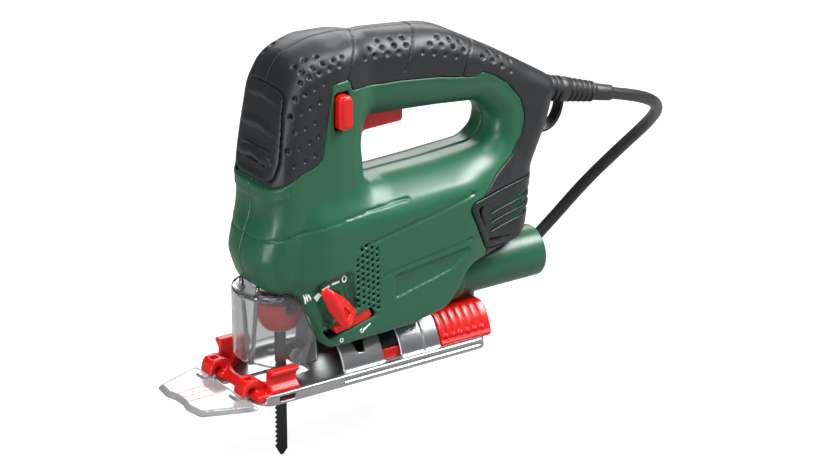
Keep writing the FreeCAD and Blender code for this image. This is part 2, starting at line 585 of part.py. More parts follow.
sleeve_parts = [Part.makeCone(7.4, 4.9, SLEEVE_LENGTH, SLEEVE_START, SLEEVE_DIR),
                cyl(7.4, along_sleeve(-10), SLEEVE_DIR, 10)]
for rib in range(9):
    sleeve_parts.append(cyl(8.4 - 0.22 * rib, along_sleeve(8.5 + rib * 4.2), SLEEVE_DIR, 2.4))
sleeve = fuse(sleeve_parts)
keep("cord_sleeve", sleeve)
strap_points = [Vec(196, 0, 129), Vec(194, 0, 119), Vec(186, 0, 113), Vec(176.5, 0, 108)]
strap_path = Part.Wire(path_edges(strap_points, [6, 8]))
strap_face = Part.Wire(Part.makePolygon([Vec(195, -4, 129), Vec(195, 4, 129), Vec(197, 4, 129),
                                         Vec(197, -4, 129), Vec(195, -4, 129)]))
strap = strap_path.makePipeShell([strap_face], True, False)
keep("sleeve_strap", strap.cut(sleeve).cut(outer).Solids[0])

clamp_x, clamp_z = 150.0, 147.9
clamp_bar = box(clamp_x - 4, clamp_x + 4, -17.5, 17.5, clamp_z - 8, clamp_z - CORD_D / 2)
clamp_cap = box(clamp_x - 4, clamp_x + 4, -11, 11, clamp_z + CORD_D / 2, clamp_z + 7)
keep("cord_clamp", clamp_bar.common(cavity).cut(grip), clamp_cap)
leads = []
for side in (1, -1):
    lead_points = [(clamp_x + 6, side * 1.7, clamp_z - 1.5), (140, side * 1.7, clamp_z + 10),
                   (115, side * 2.4, 172), (spring_x + 17, side * 3.5, 178)]
    leads.append(sweep(lead_points, 1.3, 12))
leads = [lead.cut(clamp_bar).cut(clamp_cap).cut(switch) for lead in leads]
keep("inner_leads", *leads)
suppressor = box(90, 108, -7.5, 7.5, 153.5, 162.5)
keep("suppressor", suppressor)

# ---------------------------------------------------------------- mains cord
cord_start = along_sleeve(SLEEVE_LENGTH)
CORD_LIES = BENCH_Z + CORD_D / 2
CORD_ROUTE = [tuple(cord_start), (259, 2, 118), (281, 12, 105), (296, 36, 86), (296, 64, 60), (284, 88, 30),
              (268, 106, -2), (254.8, 117, -22.5), (238.5, 130.5, -39), (219.1, 146.6, CORD_LIES),
              (200.8, 165.8, CORD_LIES)]
route = [Vec(*p) for p in CORD_ROUTE]
radii = []
for i in range(1, len(route) - 1):
    run_in, run_out = route[i] - route[i - 1], route[i + 1] - route[i]
    bend = run_in.getAngle(run_out)
    radii.append(0.45 * min(run_in.Length, run_out.Length) / math.tan(bend / 2))
print("cord radii", [round(r, 1) for r in radii])
cord_path = Part.Wire(path_edges(route, radii))
first_run = (route[1] - route[0]).normalize()
cord_circle = Part.Wire(Part.Circle(route[0], first_run, CORD_D / 2).toShape())
cord_tube = cord_path.makePipeShell([cord_circle], True, False)
print("cord tube length", round(cord_path.Length, 1), "volume ratio",
      round(cord_tube.Volume / (math.pi * CORD_D ** 2 / 4 * cord_path.Length), 4))
coil_height = COIL_ROWS * CORD_D
coil_outer = COIL_MEAN_R + coil_height / 2
coil = cyl_z(coil_outer, BENCH_Z, BENCH_Z + coil_height, *COIL_CENTRE)
coil = coil.cut(cyl_z(COIL_MEAN_R - coil_height / 2, BENCH_Z - 1, BENCH_Z + 40, *COIL_CENTRE))
keep("cord_coil", coil)
keep("mains_cord", cord_tube.cut(coil).cut(sleeve))

plug_z = BENCH_Z + coil_height
plug_x, plug_y = COIL_CENTRE[0] - COIL_MEAN_R, COIL_CENTRE[1]
PLUG_HALF = 18.0
plug_body = fuse([plan_prism([(plug_x - 7, plug_y - 2, 2), (plug_x + 7, plug_y - 2, 2),
                              (plug_x + PLUG_HALF, plug_y - 22, 8), (plug_x + PLUG_HALF, plug_y - 40, 3),
                              (plug_x - PLUG_HALF, plug_y - 40, 3), (plug_x - PLUG_HALF, plug_y - 22, 8)],
                             plug_z, plug_z + 14),
                  cyl_y(4.6, plug_y - 4, plug_y + 8, plug_x, plug_z + 7)])
keep("plug_body", plug_body)
keep("plug_pins", *[cyl_y(2.4, plug_y - 59, plug_y - 40, plug_x + side * 9.5, plug_z + 7) for side in (1, -1)])

# ---------------------------------------------------------------- sole and what it carries
plate = plan_prism(mirrored_plan([(SOLE_FRONT, 31, 3), (-20, SOLE_HALF, 8), (SOLE_REAR, SOLE_HALF, 5)]),
                   0, SOLE_THICK)
rails = [box(RAIL_FRONT, SOLE_REAR - 6, side * (SOLE_HALF - 1.25) - 1.25, side * (SOLE_HALF - 1.25) + 1.25, 0, RAIL_HEIGHT)
         for side in (1, -1)]
base = fuse([plate] + rails)
blade_notch = plan_prism([(SOLE_FRONT - 5, -6.5, 0), (17, -6.5, 4), (17, 6.5, 4), (SOLE_FRONT - 5, 6.5, 0)], -5, 12)
FENCE_SLOT = (0.0, 18.0)
fence = box(FENCE_SLOT[0], FENCE_SLOT[1], -50, 50, SOLE_THICK + 0.2, RAIL_HEIGHT - 1.2)
base = base.cut(blade_notch).cut(fence)
SCREW_X = 62.0
base = base.cut(cyl_z(2.6, -5, 10, SCREW_X, 0))
keep("base_plate", base)

saddle = ring_x(SADDLE_R, SADDLE_R - SADDLE_THICK, SADDLE_FRONT, SADDLE_REAR, 0, 0)
saddle = saddle.common(box(0, 200, -40, 40, SOLE_THICK, 60))
for x0, x1 in ((33, 46), (66, 84)):
    for side in (1, -1):
        window = box(x0, x1, min(side * 16, side * 40), max(side * 16, side * 40), 7, 40)
        saddle = saddle.cut(window)
saddle = saddle.cut(cyl_z(3.0, 10, 60, SCREW_X, 0))
keep("base_saddle", saddle)
insert = ring_x(SADDLE_R - SADDLE_THICK, SADDLE_R - SADDLE_THICK - 2.6, 48, 88, 0, 0)
keep("saddle_insert", insert.common(box(0, 200, -40, 40, SOLE_THICK, 60)).cut(cyl_z(3.0, 10, 60, SCREW_X, 0)))
seat_z = SADDLE_R - SADDLE_THICK - 2.6
block = box(SCREW_X - 9, SCREW_X + 9, -6, 6, seat_z - 5, seat_z - 1.0)
screw_shank = cyl_z(2.5, seat_z - 6, 34, SCREW_X, 0)
screw = fuse([screw_shank, cyl_z(4.5, seat_z - 9, seat_z - 5, SCREW_X, 0)])
keep("clamp_screw", fuse([block, screw]))

depot_solid = cyl_x(DEPOT_R, SADDLE_REAR + 2, DEPOT_REAR, 0, 0).common(
    box(0, 200, -40, 40, SOLE_THICK + CLEAR, DEPOT_TOP))
depot_room = cyl_x(DEPOT_R - 2, SADDLE_REAR, DEPOT_REAR - 3, 0, 0).common(
    box(0, 200, -40, 40, SOLE_THICK + CLEAR + 1.6, DEPOT_TOP - 1.8))
depot = depot_solid.cut(depot_room)
for rib in range(6):
    x0 = SADDLE_REAR + 6 + rib * 5.0
    groove_cut = ring_x(DEPOT_R + 1, DEPOT_R - 0.9, x0, x0 + 1.8, 0, 0)
    depot = depot.cut(groove_cut)
KEY_Z = 6.9
key_hole = cyl_x(2.6 + FIT, SADDLE_REAR, DEPOT_REAR + 1, 0, KEY_Z)
depot = depot.cut(key_hole)
keep("blade_depot", depot)
keep("hex_key", fuse([cyl_x(2.6, 76, DEPOT_REAR + 9, 0, KEY_Z), cyl_z(2.6, KEY_Z, KEY_Z + 9, 76, 0)]))
keep("spare_blades", *[box(SADDLE_REAR + 5, DEPOT_REAR - 5, y - 0.6, y + 0.6, SOLE_THICK + CLEAR + 1.6, 11.5)
                       for y in (-16, -12.5, 12.5, 16)])

# ---------------------------------------------------------------- front clip, guide and hood
WING_OUTLINE = [(26, SOLE_THICK, 0), (31, SOLE_THICK, 2), (33, 14, 3), (30, 24, 1), (27, 24, 1), (29.5, 13, 3)]
HOOK_OUTLINE = [(-36.5, SOLE_THICK, 0), (-28, SOLE_THICK, 0), (-28, 12, 2), (-34, 15, 2), (-41, 13, 1.5),
                (-41, 8, 1.5), (-36.5, 9.5, 1)]
HOOK_Y = 18.0
carrier_parts = [box(-33, -29, -HOOK_Y, HOOK_Y, SOLE_THICK, SOLE_THICK + 3)]
for side in (1, -1):
    y0, y1 = sorted((side * 10.0, side * 31.0))
    carrier_parts.append(box(-34, -24, y0, y1, SOLE_THICK, SOLE_THICK + 4))
    wing = end_prism(WING_OUTLINE, -27, -7)
    wing = wing.fuse(box(-27, -7, 23, 29, SOLE_THICK, SOLE_THICK + 5))
    if side < 0:
        wing = wing.mirror(Vec(0, 0, 0), Vec(0, 1, 0))
    carrier_parts.append(wing)
    hook = side_prism(HOOK_OUTLINE, side * HOOK_Y - 5.5, side * HOOK_Y + 5.5)
    hook = hook.cut(box(-39, -30, side * HOOK_Y - 2.2, side * HOOK_Y + 2.2, 10, 20))
    carrier_parts.append(hook)
carrier = fuse(carrier_parts)
keep("base_carrier", carrier)

GUIDE_TOP = SOLE_THICK - CLEAR
guide_rear = SOLE_FRONT - CLEAR
guide_outline = [(guide_rear, -34, 2), (guide_rear, 34, 2), (-40, 35, 3), (-76, 17, 4), (-77, 9, 3), (-69, 6, 3),
                 (-66, 0, 3), (-69, -6, 3), (-77, -9, 3), (-76, -17, 4), (-40, -35, 3)]
keep("cut_guide", plan_prism(guide_outline, 0, GUIDE_TOP))

hood_plan = [(HOOD_CENTRE_X - HOOD_R, HOOD_R, HOOD_R - 0.01), (14, HOOD_R, 0)]
hood_outer = plan_prism(mirrored_plan(hood_plan), HOOD_BOTTOM, HOOD_TOP)
hood_inner = plan_prism(inset(mirrored_plan(hood_plan), HOOD_WALL), HOOD_BOTTOM - 1, HOOD_TOP + 1)
hood_side = side_prism(square([(-40, 14), (10.5, 14), (10.5, 26), (-7, 57.5), (-7, 60), (-40, 60)]), -40, 40)
hood = hood_outer.cut(hood_inner.fuse(box(5, 30, -21, 21, 0, 80))).common(hood_side)
keep("chip_hood", hood)

GUARD_X = -16.0
GUARD_WIRE_R = 1.1
guard = sweep([(GUARD_X, -9, 63), (GUARD_X, -9, 18), (GUARD_X - 1.0, 9, 18), (GUARD_X, 9, 63)], GUARD_WIRE_R, 5)
keep("finger_guard", guard)
for half in ("housing_left", "housing_right"):
    nodes[half] = tuple(shape.cut(guard).cut(screw_shank) for shape in nodes[half])

# ---------------------------------------------------------------- dust tube
tube = cyl_x(TUBE_R, TUBE_FRONT, TUBE_REAR, 0, TUBE_Z)
tube = tube.cut(cyl_x(TUBE_BORE, TUBE_FRONT - 1, TUBE_REAR + 1, 0, TUBE_Z))
keep("dust_tube", tube)

# ---------------------------------------------------------------- write the pieces
for name, shapes in nodes.items():
    solids = [solid for shape in shapes for solid in shape.Solids]
    whole = solids[0] if len(solids) == 1 else Part.makeCompound(solids)
    whole.exportStep("parts/%s.step" % name)
    box_ = whole.BoundBox
    print("%-20s %2d solids valid=%s vol=%9.1f  x %.1f..%.1f y %.1f..%.1f z %.1f..%.1f" % (
        name, len(solids), all(s.isValid() for s in solids), whole.Volume, box_.XMin, box_.XMax,
        box_.YMin, box_.YMax, box_.ZMin, box_.ZMax))
print(len(nodes), "nodes")
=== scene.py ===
"""Jigsaw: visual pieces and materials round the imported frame. Shapes are worked out in millimetres."""
import json
import math

import bpy
import numpy as np
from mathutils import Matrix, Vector


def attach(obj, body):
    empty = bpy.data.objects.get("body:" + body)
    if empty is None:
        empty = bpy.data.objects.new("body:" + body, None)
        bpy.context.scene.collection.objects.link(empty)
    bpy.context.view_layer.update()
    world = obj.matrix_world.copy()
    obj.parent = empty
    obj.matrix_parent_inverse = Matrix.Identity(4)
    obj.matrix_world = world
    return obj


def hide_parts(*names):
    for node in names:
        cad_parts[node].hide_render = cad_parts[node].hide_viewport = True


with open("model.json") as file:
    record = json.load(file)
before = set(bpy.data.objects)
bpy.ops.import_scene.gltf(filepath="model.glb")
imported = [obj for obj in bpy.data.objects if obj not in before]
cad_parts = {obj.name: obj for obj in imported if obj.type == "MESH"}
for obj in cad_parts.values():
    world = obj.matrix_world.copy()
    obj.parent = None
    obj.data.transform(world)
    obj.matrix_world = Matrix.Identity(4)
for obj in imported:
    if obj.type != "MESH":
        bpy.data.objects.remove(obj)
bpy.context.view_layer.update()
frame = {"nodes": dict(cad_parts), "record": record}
MM = 0.001
GRID = 1.05
FINE = 0.72


# ---------------- camera
def aim(obj, place, target):
    """Puts a camera or light at place, looking at target."""
    obj.location = place
    obj.rotation_euler = (Vector(target) - Vector(place)).to_track_quat("-Z", "Y").to_euler()


camera_data = bpy.data.cameras.new("camera")
camera = bpy.data.objects.new("camera", camera_data)
bpy.context.scene.collection.objects.link(camera)
bpy.context.scene.camera = camera
camera_data.sensor_width = 36.0
camera_data.lens = 151.81
camera_data.clip_start = 0.05
camera_data.clip_end = 50.0
TARGET = Vector((0.0937, 0.0, 0.0663))
AZIMUTH, ELEVATION, DISTANCE = math.radians(34.17), math.radians(22.16), 2.0358
back = Vector((-math.sin(AZIMUTH) * math.cos(ELEVATION), -math.cos(AZIMUTH) * math.cos(ELEVATION),
               math.sin(ELEVATION)))
aim(camera, TARGET + back * DISTANCE, TARGET)


# ---------------- cord
def spline_object(name, points, radius=0.0, resolution=4):
    """One open NURBS spline through points in metres, as a curve object."""
    curve = bpy.data.curves.new(name, "CURVE")
    curve.dimensions = "3D"
    spline = curve.splines.new("NURBS")
    spline.points.add(len(points) - 1)
    for knot, point in zip(spline.points, points):
        knot.co = (*point, 1.0)
    spline.order_u = 3
    spline.use_endpoint_u = True
    spline.resolution_u = resolution
    curve.bevel_depth = radius
    curve.bevel_resolution = 6
    curve.use_fill_caps = True
    obj = bpy.data.objects.new(name, curve)
    bpy.context.scene.collection.objects.link(obj)
    return obj


CORD_POINTS = [(0.2340, 0.0, 0.1252), (0.259, 0.002, 0.118), (0.281, 0.012, 0.105), (0.296, 0.036, 0.086),
               (0.296, 0.064, 0.060), (0.284, 0.088, 0.030), (0.268, 0.106, -0.002), (0.2548, 0.117, -0.0225),
               (0.2385, 0.1305, -0.039), (0.2191, 0.1466, -0.04825), (0.2008, 0.1658, -0.04825)]
LEAD_THICK = 7.5
COIL_CENTRE = (0.166, 0.132)
OUTER, MIDDLE, INNER = 48.5, 48.5 - LEAD_THICK, 48.5 - 2 * LEAD_THICK
COIL_BOTTOM, PLUG_LEVEL = -48.25, -22.5
COIL_START, COIL_CHANGE = 45, 40
# how many degrees the cord stays in a row, the row's radius and its layer; a change takes COIL_CHANGE degrees
COIL_ROWS = [(280, OUTER, 0), (320, MIDDLE, 0), (280, INNER, 0), (280, INNER, 1), (320, MIDDLE, 1),
             (280, OUTER, 1), (280, OUTER, 2), (155, MIDDLE, 2)]


def coil_points():
    """The coil's points, one for every 15 degrees, ending in a rise to the plug."""
    knots = []
    angle = COIL_START
    for degrees, row, layer in COIL_ROWS:
        level = COIL_BOTTOM + layer * LEAD_THICK
        knots += [(angle, row, level), (angle + degrees, row, level)]
        angle += degrees + COIL_CHANGE
    knots += [(angle + 95, MIDDLE, PLUG_LEVEL), (angle + 140, MIDDLE, PLUG_LEVEL)]
    angles, rows, levels = zip(*knots)
    points = []
    for step in range(60, 2686, 15):
        radius = np.interp(step, angles, rows) * MM
        points.append((COIL_CENTRE[0] + radius * math.cos(math.radians(step)),
                       COIL_CENTRE[1] + radius * math.sin(math.radians(step)),
                       np.interp(step, angles, levels) * MM))
    return points


CORD_POINTS += coil_points() + [(0.125, 0.1385, -0.0225), (0.125, 0.1345, -0.0225)]
cord = spline_object("mains_lead", CORD_POINTS, 0.00375)


# ---------------- distance fields
def rounded(points, steps=6):
    """A closed outline of (u, v, corner radius) as dense points."""
    out = []
    count = len(points)
    for i, (u, v, radius) in enumerate(points):
        here = np.array((u, v), float)
        before = np.array(points[i - 1][:2], float) - here
        after = np.array(points[(i + 1) % count][:2], float) - here
        len_before, len_after = np.linalg.norm(before), np.linalg.norm(after)
        before /= len_before
        after /= len_after
        opening = math.acos(max(-1.0, min(1.0, float(before @ after))))
        if radius < 0.01 or opening > math.pi - 0.02:
            out.append(here)
            continue
        reach = min(radius / math.tan(opening / 2), 0.49 * len_before, 0.49 * len_after)
        radius = reach * math.tan(opening / 2)
        bisector = (before + after) / np.linalg.norm(before + after)
        centre = here + bisector * radius / math.sin(opening / 2)
        first, last = here + before * reach - centre, here + after * reach - centre
        sweep = math.pi - opening
        for k in range(steps + 1):
            t = k / steps
            mix = (math.sin((1 - t) * sweep) * first + math.sin(t * sweep) * last) / math.sin(sweep)
            out.append(centre + mix)
    return np.array(out)


def outline_field(points, u, v):
    """Signed distance on the grid u by v to a closed outline, negative inside."""
    corners = rounded([tuple(p) + (0,) * (3 - len(p)) for p in points])
    grid_u, grid_v = np.meshgrid(u, v, indexing="ij")
    best = np.full(grid_u.shape, 1e9)
    inside = np.zeros(grid_u.shape, bool)
    for a, b in zip(corners, np.roll(corners, -1, axis=0)):
        along = b - a
        length2 = float(along @ along)
        if length2 < 1e-9:
            continue
        du, dv = grid_u - a[0], grid_v - a[1]
        t = np.clip((du * along[0] + dv * along[1]) / length2, 0, 1)
        best = np.minimum(best, (du - t * along[0]) ** 2 + (dv - t * along[1]) ** 2)
        crosses = (a[1] > grid_v) != (b[1] > grid_v)
        if abs(along[1]) > 1e-9:
            inside ^= crosses & (grid_u < a[0] + (grid_v - a[1]) / along[1] * along[0])
    return (np.sqrt(best) * np.where(inside, -1, 1)).astype(np.float32)


def line_field(points, u, v):
    """Distance on the grid u by v to an open line of points."""
    grid_u, grid_v = np.meshgrid(u, v, indexing="ij")
    best = np.full(grid_u.shape, 1e9)
    for a, b in zip(points[:-1], points[1:]):
        along = (b[0] - a[0], b[1] - a[1])
        du, dv = grid_u - a[0], grid_v - a[1]
        t = np.clip((du * along[0] + dv * along[1]) / (along[0] ** 2 + along[1] ** 2), 0, 1)
        best = np.minimum(best, (du - t * along[0]) ** 2 + (dv - t * along[1]) ** 2)
    return np.sqrt(best).astype(np.float32)


def meet(a, b, radius):
    """Intersection whose edge is rounded."""
    over_a, over_b = np.maximum(a + radius, 0), np.maximum(b + radius, 0)
    return np.minimum(np.maximum(a, b), -radius) + np.sqrt(over_a * over_a + over_b * over_b)


def join(a, b, radius):
    """Union whose inner corner is filled."""
    return -meet(-a, -b, radius)


def ramp(value, low, high):
    """0 up to low, 1 from high on, and smooth between."""
    t = np.clip((value - low) / (high - low), 0, 1)
    return t * t * (3 - 2 * t)


def surface_net(field, origin, step):
    """Vertices and quads of the field's zero surface."""
    inside = field < 0
    shape = field.shape
    picks = [(i, j, k) for i in (0, 1) for j in (0, 1) for k in (0, 1)]
    counts = np.zeros([n - 1 for n in shape], np.int8)
    for i, j, k in picks:
        counts += inside[i:shape[0] - 1 + i, j:shape[1] - 1 + j, k:shape[2] - 1 + k]
    cells = np.argwhere((counts > 0) & (counts < 8))
    values = np.stack([field[cells[:, 0] + i, cells[:, 1] + j, cells[:, 2] + k] for i, j, k in picks], 1)
    values = values.astype(np.float64)
    corner = np.array(picks, float)
    total = np.zeros((len(cells), 3))
    hits = np.zeros(len(cells))
    for a in range(8):
        for b in range(a + 1, 8):
            if abs(corner[a] - corner[b]).sum() != 1:
                continue
            fa, fb = values[:, a], values[:, b]
            cut = (fa < 0) != (fb < 0)
            t = np.where(cut, fa / np.where(cut, fa - fb, 1), 0)
            total += cut[:, None] * (corner[a] + t[:, None] * (corner[b] - corner[a]))
            hits += cut
    place = total / hits[:, None]
    for _ in range(2):
        weight = []
        for axis in range(3):
            part = place[:, axis:axis + 1]
            weight.append(np.where(corner[:, axis][None, :] > 0.5, part, 1 - part))
        slope = np.where(corner > 0.5, 1.0, -1.0)
        value = (values * weight[0] * weight[1] * weight[2]).sum(1)
        gradient = np.stack([(values * slope[:, 0] * weight[1] * weight[2]).sum(1),
                             (values * weight[0] * slope[:, 1] * weight[2]).sum(1),
                             (values * weight[0] * weight[1] * slope[:, 2]).sum(1)], 1)
        size = np.maximum((gradient ** 2).sum(1), 1e-6)
        place = np.clip(place - (value / size)[:, None] * gradient, 0.02, 0.98)
    vertices = (cells + place) * step + origin
    index = np.full([n - 1 for n in shape], -1, np.int64)
    index[tuple(cells.T)] = np.arange(len(cells))
    quads = []
    for axis in range(3):
        one, two = [a for a in range(3) if a != axis]
        low = [slice(1, None)] * 3
        low[axis] = slice(None, -1)
        high = [slice(1, None)] * 3
        high[axis] = slice(1, None)
        a, b = inside[tuple(low)], inside[tuple(high)]
        trim = [slice(None)] * 3
        trim[one], trim[two] = slice(None, -1), slice(None, -1)
        a, b = a[tuple(trim)], b[tuple(trim)]
        where = np.argwhere(a != b)
        flip = a[tuple(where.T)]
        if axis == 1:
            flip = ~flip
        corners = []
        for d_one, d_two in ((0, 0), (1, 0), (1, 1), (0, 1)):
            spot = where.copy()
            spot[:, one] += d_one
            spot[:, two] += d_two
            corners.append(index[tuple(spot.T)])
        quad = np.stack(corners, 1)
        quad[~flip] = quad[~flip][:, ::-1]
        quads.append(quad)
    return vertices, np.concatenate(quads)


def mesh_object(name, vertices, faces, smooth=True):
    """A mesh object from vertices in millimetres."""
    mesh = bpy.data.meshes.new(name)
    if isinstance(faces, np.ndarray):
        faces = faces.tolist()
    mesh.from_pydata((np.asarray(vertices, float) * MM).tolist(), [], faces)
    mesh.validate()
    if smooth:
        mesh.shade_smooth()
    obj = bpy.data.objects.new(name, mesh)
    bpy.context.scene.collection.objects.link(obj)
    return obj


def net_object(name, field, b, side=1):
    """The field's surface on the block b as a piece. Side -1 turns the grid's second axis to -Y."""
    vertices, quads = surface_net(field, b.low, b.step)
    if side < 0:
        vertices[:, 1] *= -1
        quads = quads[:, ::-1]
    return mesh_object(name, vertices, quads)


# ---------------- outlines, as (x, z, corner radius)
BODY = [(-2, 62, 13), (-9, 88, 14), (4, 112, 18), (60, 110.5, 80), (128, 114, 30), (152, 116, 14),
        (168, 96, 14), (160, 57, 14), (112, 52, 14), (96, 31, 12), (70, 25.5, 20), (13, 24.5, 5)]
COLUMN = [(-17, 59, 11), (-29.5, 80, 12), (-17.5, 106, 30), (-17.5, 127, 40), (-7, 176, 30), (4, 193, 26),
          (24, 198.6, 30), (50, 199, 11), (47, 140, 20), (62, 106, 20), (62, 59, 11)]
HANDLE = [(0, 140, 12), (-2, 191, 12), (20, 198.4, 40), (60, 199, 60), (104, 194, 60), (150, 169, 60),
          (186, 147, 10), (179, 122, 40), (168, 98, 30), (166, 76, 20), (159, 56, 10), (120, 58, 12),
          (100, 90, 20), (30, 95, 12)]
OPENING = [(47.5, 136, 5), (50.5, 151.5, 5), (85, 149, 40), (101, 147.8, 40), (128, 145, 10),
           (141.5, 134, 12), (139.5, 124, 8), (132, 117, 10), (100, 114.8, 60), (48, 113.5, 6)]
GRIP = [(-60, 121), (-17, 123.5, 3), (-1, 131.8, 10), (13, 136.6, 4), (20.7, 181.6, 3), (32.8, 181.0, 2),
        (35.0, 174.6, 2), (51.5, 172.9, 20), (72, 171.5, 40), (96, 168.7, 40), (122, 163.2, 2),
        (127, 165.8, 4), (136, 161.8, 8), (145.5, 155, 10), (155, 143.5, 12), (158.2, 132, 12),
        (156, 120.5, 12), (147.6, 110.0, 12), (133, 102, 8), (118, 90, 4), (126, 50), (210, 40), (230, 160),
        (100, 260), (-60, 260)]
PAD = [(-60, 123.5), (-20, 125.5, 2), (-15.0, 129.0, 5), (-11.9, 139, 20), (-8.0, 168, 10), (-5.4, 179.5, 4),
       (-10, 184.5, 3), (-60, 191)]
VENT = [(110.5, 88.5, 4), (114, 92, 3), (150, 94.5, 10), (210, 96), (210, 50), (150, 56), (123, 60.5, 4)]
VENT_PLATE = [(118.6, 84.5, 2), (121, 87.8, 2), (150, 90.5, 10), (210, 92), (210, 56), (150, 61),
              (125, 66, 3)]
PANEL = [(0.6, 64.6, 2), (26.5, 69.2, 1.5), (29.5, 67.8, 1.5), (32.0, 46.5, 1.5), (19, 35.5, 2),
         (10.5, 39.5, 2)]
WELL = [(3.6, 62.0, 1.5), (9.5, 63.4, 1), (19.5, 57, 2), (20, 42, 2), (17, 38.5, 2), (12.5, 41, 2)]
BLOWER = [(9.9, 36.2, 1), (13.4, 37.4, 1), (16.7, 36.0, 0.5), (41.2, 44.3, 1), (45.6, 38.6, 1),
          (13.8, 30.3, 1)]
WEDGE = [(58, 59.5, 2), (112.5, 65.6, 1), (97, 54.5, 8), (58, 45.5, 2)]
BODY_PLAN = [(-13, 17, 14), (8, 33, 40), (112, 33, 60), (169, 16, 14)]
COLUMN_PLAN = [(-30.5, 27, 26.5), (26, 27, 16), (48, 20, 8), (64, 19.5, 3)]
SCREWS = [(-6, 112), (34, 188), (126, 104), (160, 140), (44, 99), (140, 66)]
VENT_DOTS = [(33.5 + 3.35 * c - 0.10 * r, (46.6, 48.0, 46.2, 44.4, 42.7)[c] + 3.62 * r)
             for c in range(5) for r in range((9, 10, 11, 11, 11)[c])]
HANDLE_HALF, COLUMN_HALF = 20.0, 27.0
WALL, CHANNEL_DEPTH = 3.2, 1.6
SHELL_GAP, COVER_GAP = 0.16, 0.12
PANEL_FLOOR = 30.2
PIPE_AXIS_Z, PIPE_BORE = 37.5, 15.7
SLEEVE_X, SLEEVE_Z = 178, 140.3
SLEEVE_COS, SLEEVE_SIN = 0.9655, 0.2604


def screw_depth(x, z):
    """Half the housing's width at a screw: narrow on the handle and at the rear."""
    return HANDLE_HALF if (z > 130 and x > 50) or x > 150 else COLUMN_HALF


def rectangle(left, right, low, high, radius=2):
    return [(left, low, radius), (right, low, radius), (right, high, radius), (left, high, radius)]


def mirrored_plan(points):
    return points + [(x, -y, r) for x, y, r in reversed(points)]


class Block:
    """A grid of points over a box, in millimetres, with depth the distance from the centre plane."""

    def __init__(self, low, high, step):
        self.step = step
        self.low = np.array(low, float)
        self.x, self.h, self.z = [np.arange(a, b + step, step) for a, b in zip(low, high)]
        self.X = self.x[:, None, None].astype(np.float32)
        self.H = self.h[None, :, None].astype(np.float32)
        self.Z = self.z[None, None, :].astype(np.float32)

    def side(self, points):
        return outline_field(points, self.x, self.z)[:, None, :]

    def plan(self, points):
        return outline_field(points, self.x, self.h)[:, :, None]

    def line(self, points):
        return line_field(points, self.x, self.z)[:, None, :]


def outer_form(b):
    """The housing's outer form on the block b, before its details."""
    round_body = 4.0 + 17.0 * ramp(b.Z, 40, 96)
    body = meet(b.side(BODY), b.plan(mirrored_plan(BODY_PLAN)), round_body)
    body = meet(body, 28.2 - np.sqrt(b.H ** 2 + b.Z ** 2), 1.0)
    column = meet(b.side(COLUMN), b.plan(mirrored_plan(COLUMN_PLAN)), 11.0)
    half = HANDLE_HALF - 0.006 * np.clip(b.Z - 172, -14, 30) ** 2
    handle = meet(b.side(HANDLE), b.H - half, 13.0)
    under = (1 - ramp(b.X, -6, 13)) * np.maximum(75.5 - b.Z + 0.02 * b.X, 0)
    body = meet(body, (b.H - 33.2 + 0.40 * under) * 0.92, 1.2)
    form = join(join(body, column, 9.0), handle, 9.0)
    return meet(form, -b.side(OPENING), 12.0)


def sleeve_axis(b):
    """Distance along the cord sleeve's axis, and distance from it."""
    dx, dz = b.X - SLEEVE_X, b.Z - SLEEVE_Z
    along = dx * SLEEVE_COS - dz * SLEEVE_SIN
    return along, np.sqrt((dx * SLEEVE_SIN + dz * SLEEVE_COS) ** 2 + b.H ** 2)


def pits(field, form, b, spots, radius, sink):
    """Round dimples, never deeper than 0.8 under the form, where the surface lies over each (x, z) spot."""
    for x, z in spots:
        i, k = int(round((x - b.low[0]) / b.step)), int(round((z - b.low[2]) / b.step))
        column = field[i, :, k]
        filled = np.nonzero(column < 0)[0]
        if not len(filled):
            continue
        j = filled[-1]
        h = b.h[j] + b.step * column[j] / (column[j] - column[min(j + 1, len(b.h) - 1)] - 1e-6)
        reach = int(radius / b.step) + 3
        window = tuple(slice(max(0, c - reach), c + reach) for c in (i, j, k))
        dx = b.X[window[0]] - x
        dh = b.H[:, window[1]] - (h + radius - sink)
        dz = b.Z[:, :, window[2]] - z
        ball = np.sqrt(dx * dx + dh * dh + dz * dz) - radius
        field[window] = meet(field[window], -np.maximum(ball, -(form[window] + 0.8)), 0.3)
    return field


# ---------------- housing halves
def covered_skin(b, form):
    """The outer form with a raised lip and a channel where the grip, pad and vent covers lie."""
    covered = np.minimum(np.minimum(b.side(GRIP), b.side(PAD)), b.side(VENT))
    lip = ramp(covered, 0.2, 0.9) * (1 - ramp(covered, 1.2, 2.2))
    chin = b.side([(-60, 114), (-17, 115.5, 2), (-9, 119, 2), (-12, 131), (-60, 131)])
    skin = form - 0.45 * lip - 0.9 * (1 - ramp(chin, -0.4, 0.5))
    channel = meet(covered - 0.15, -(form + CHANNEL_DEPTH), 0.2)
    return meet(skin, -channel, 0.3)


def control_side(b, shell):
    """The left half's sunk orbit panel with its fins and well, the blower slot and the lock button's hole."""
    shell = meet(shell, -np.maximum(b.side(PANEL), -(b.H - PANEL_FLOOR)), 0.4)
    for x, slant in ((20.5, 0.32), (24.5, 0.26)):
        fin = np.maximum(np.abs(b.X - x + slant * (b.Z - 62)) - 0.55, np.abs(b.Z - 55.5) - 4.5)
        shell = np.minimum(shell, np.maximum(fin, np.abs(b.H - PANEL_FLOOR) - 1.2))
    shell = meet(shell, -np.maximum(b.side(WELL), 28.6 - b.H), 0.4)
    shell = meet(shell, -np.maximum(b.side(BLOWER), 27.4 - b.H), 0.4)
    return meet(shell, -np.maximum(b.side(rectangle(21.6, 32.2, 152.8, 175.2)), -(b.H - 16.0)), 0.5)


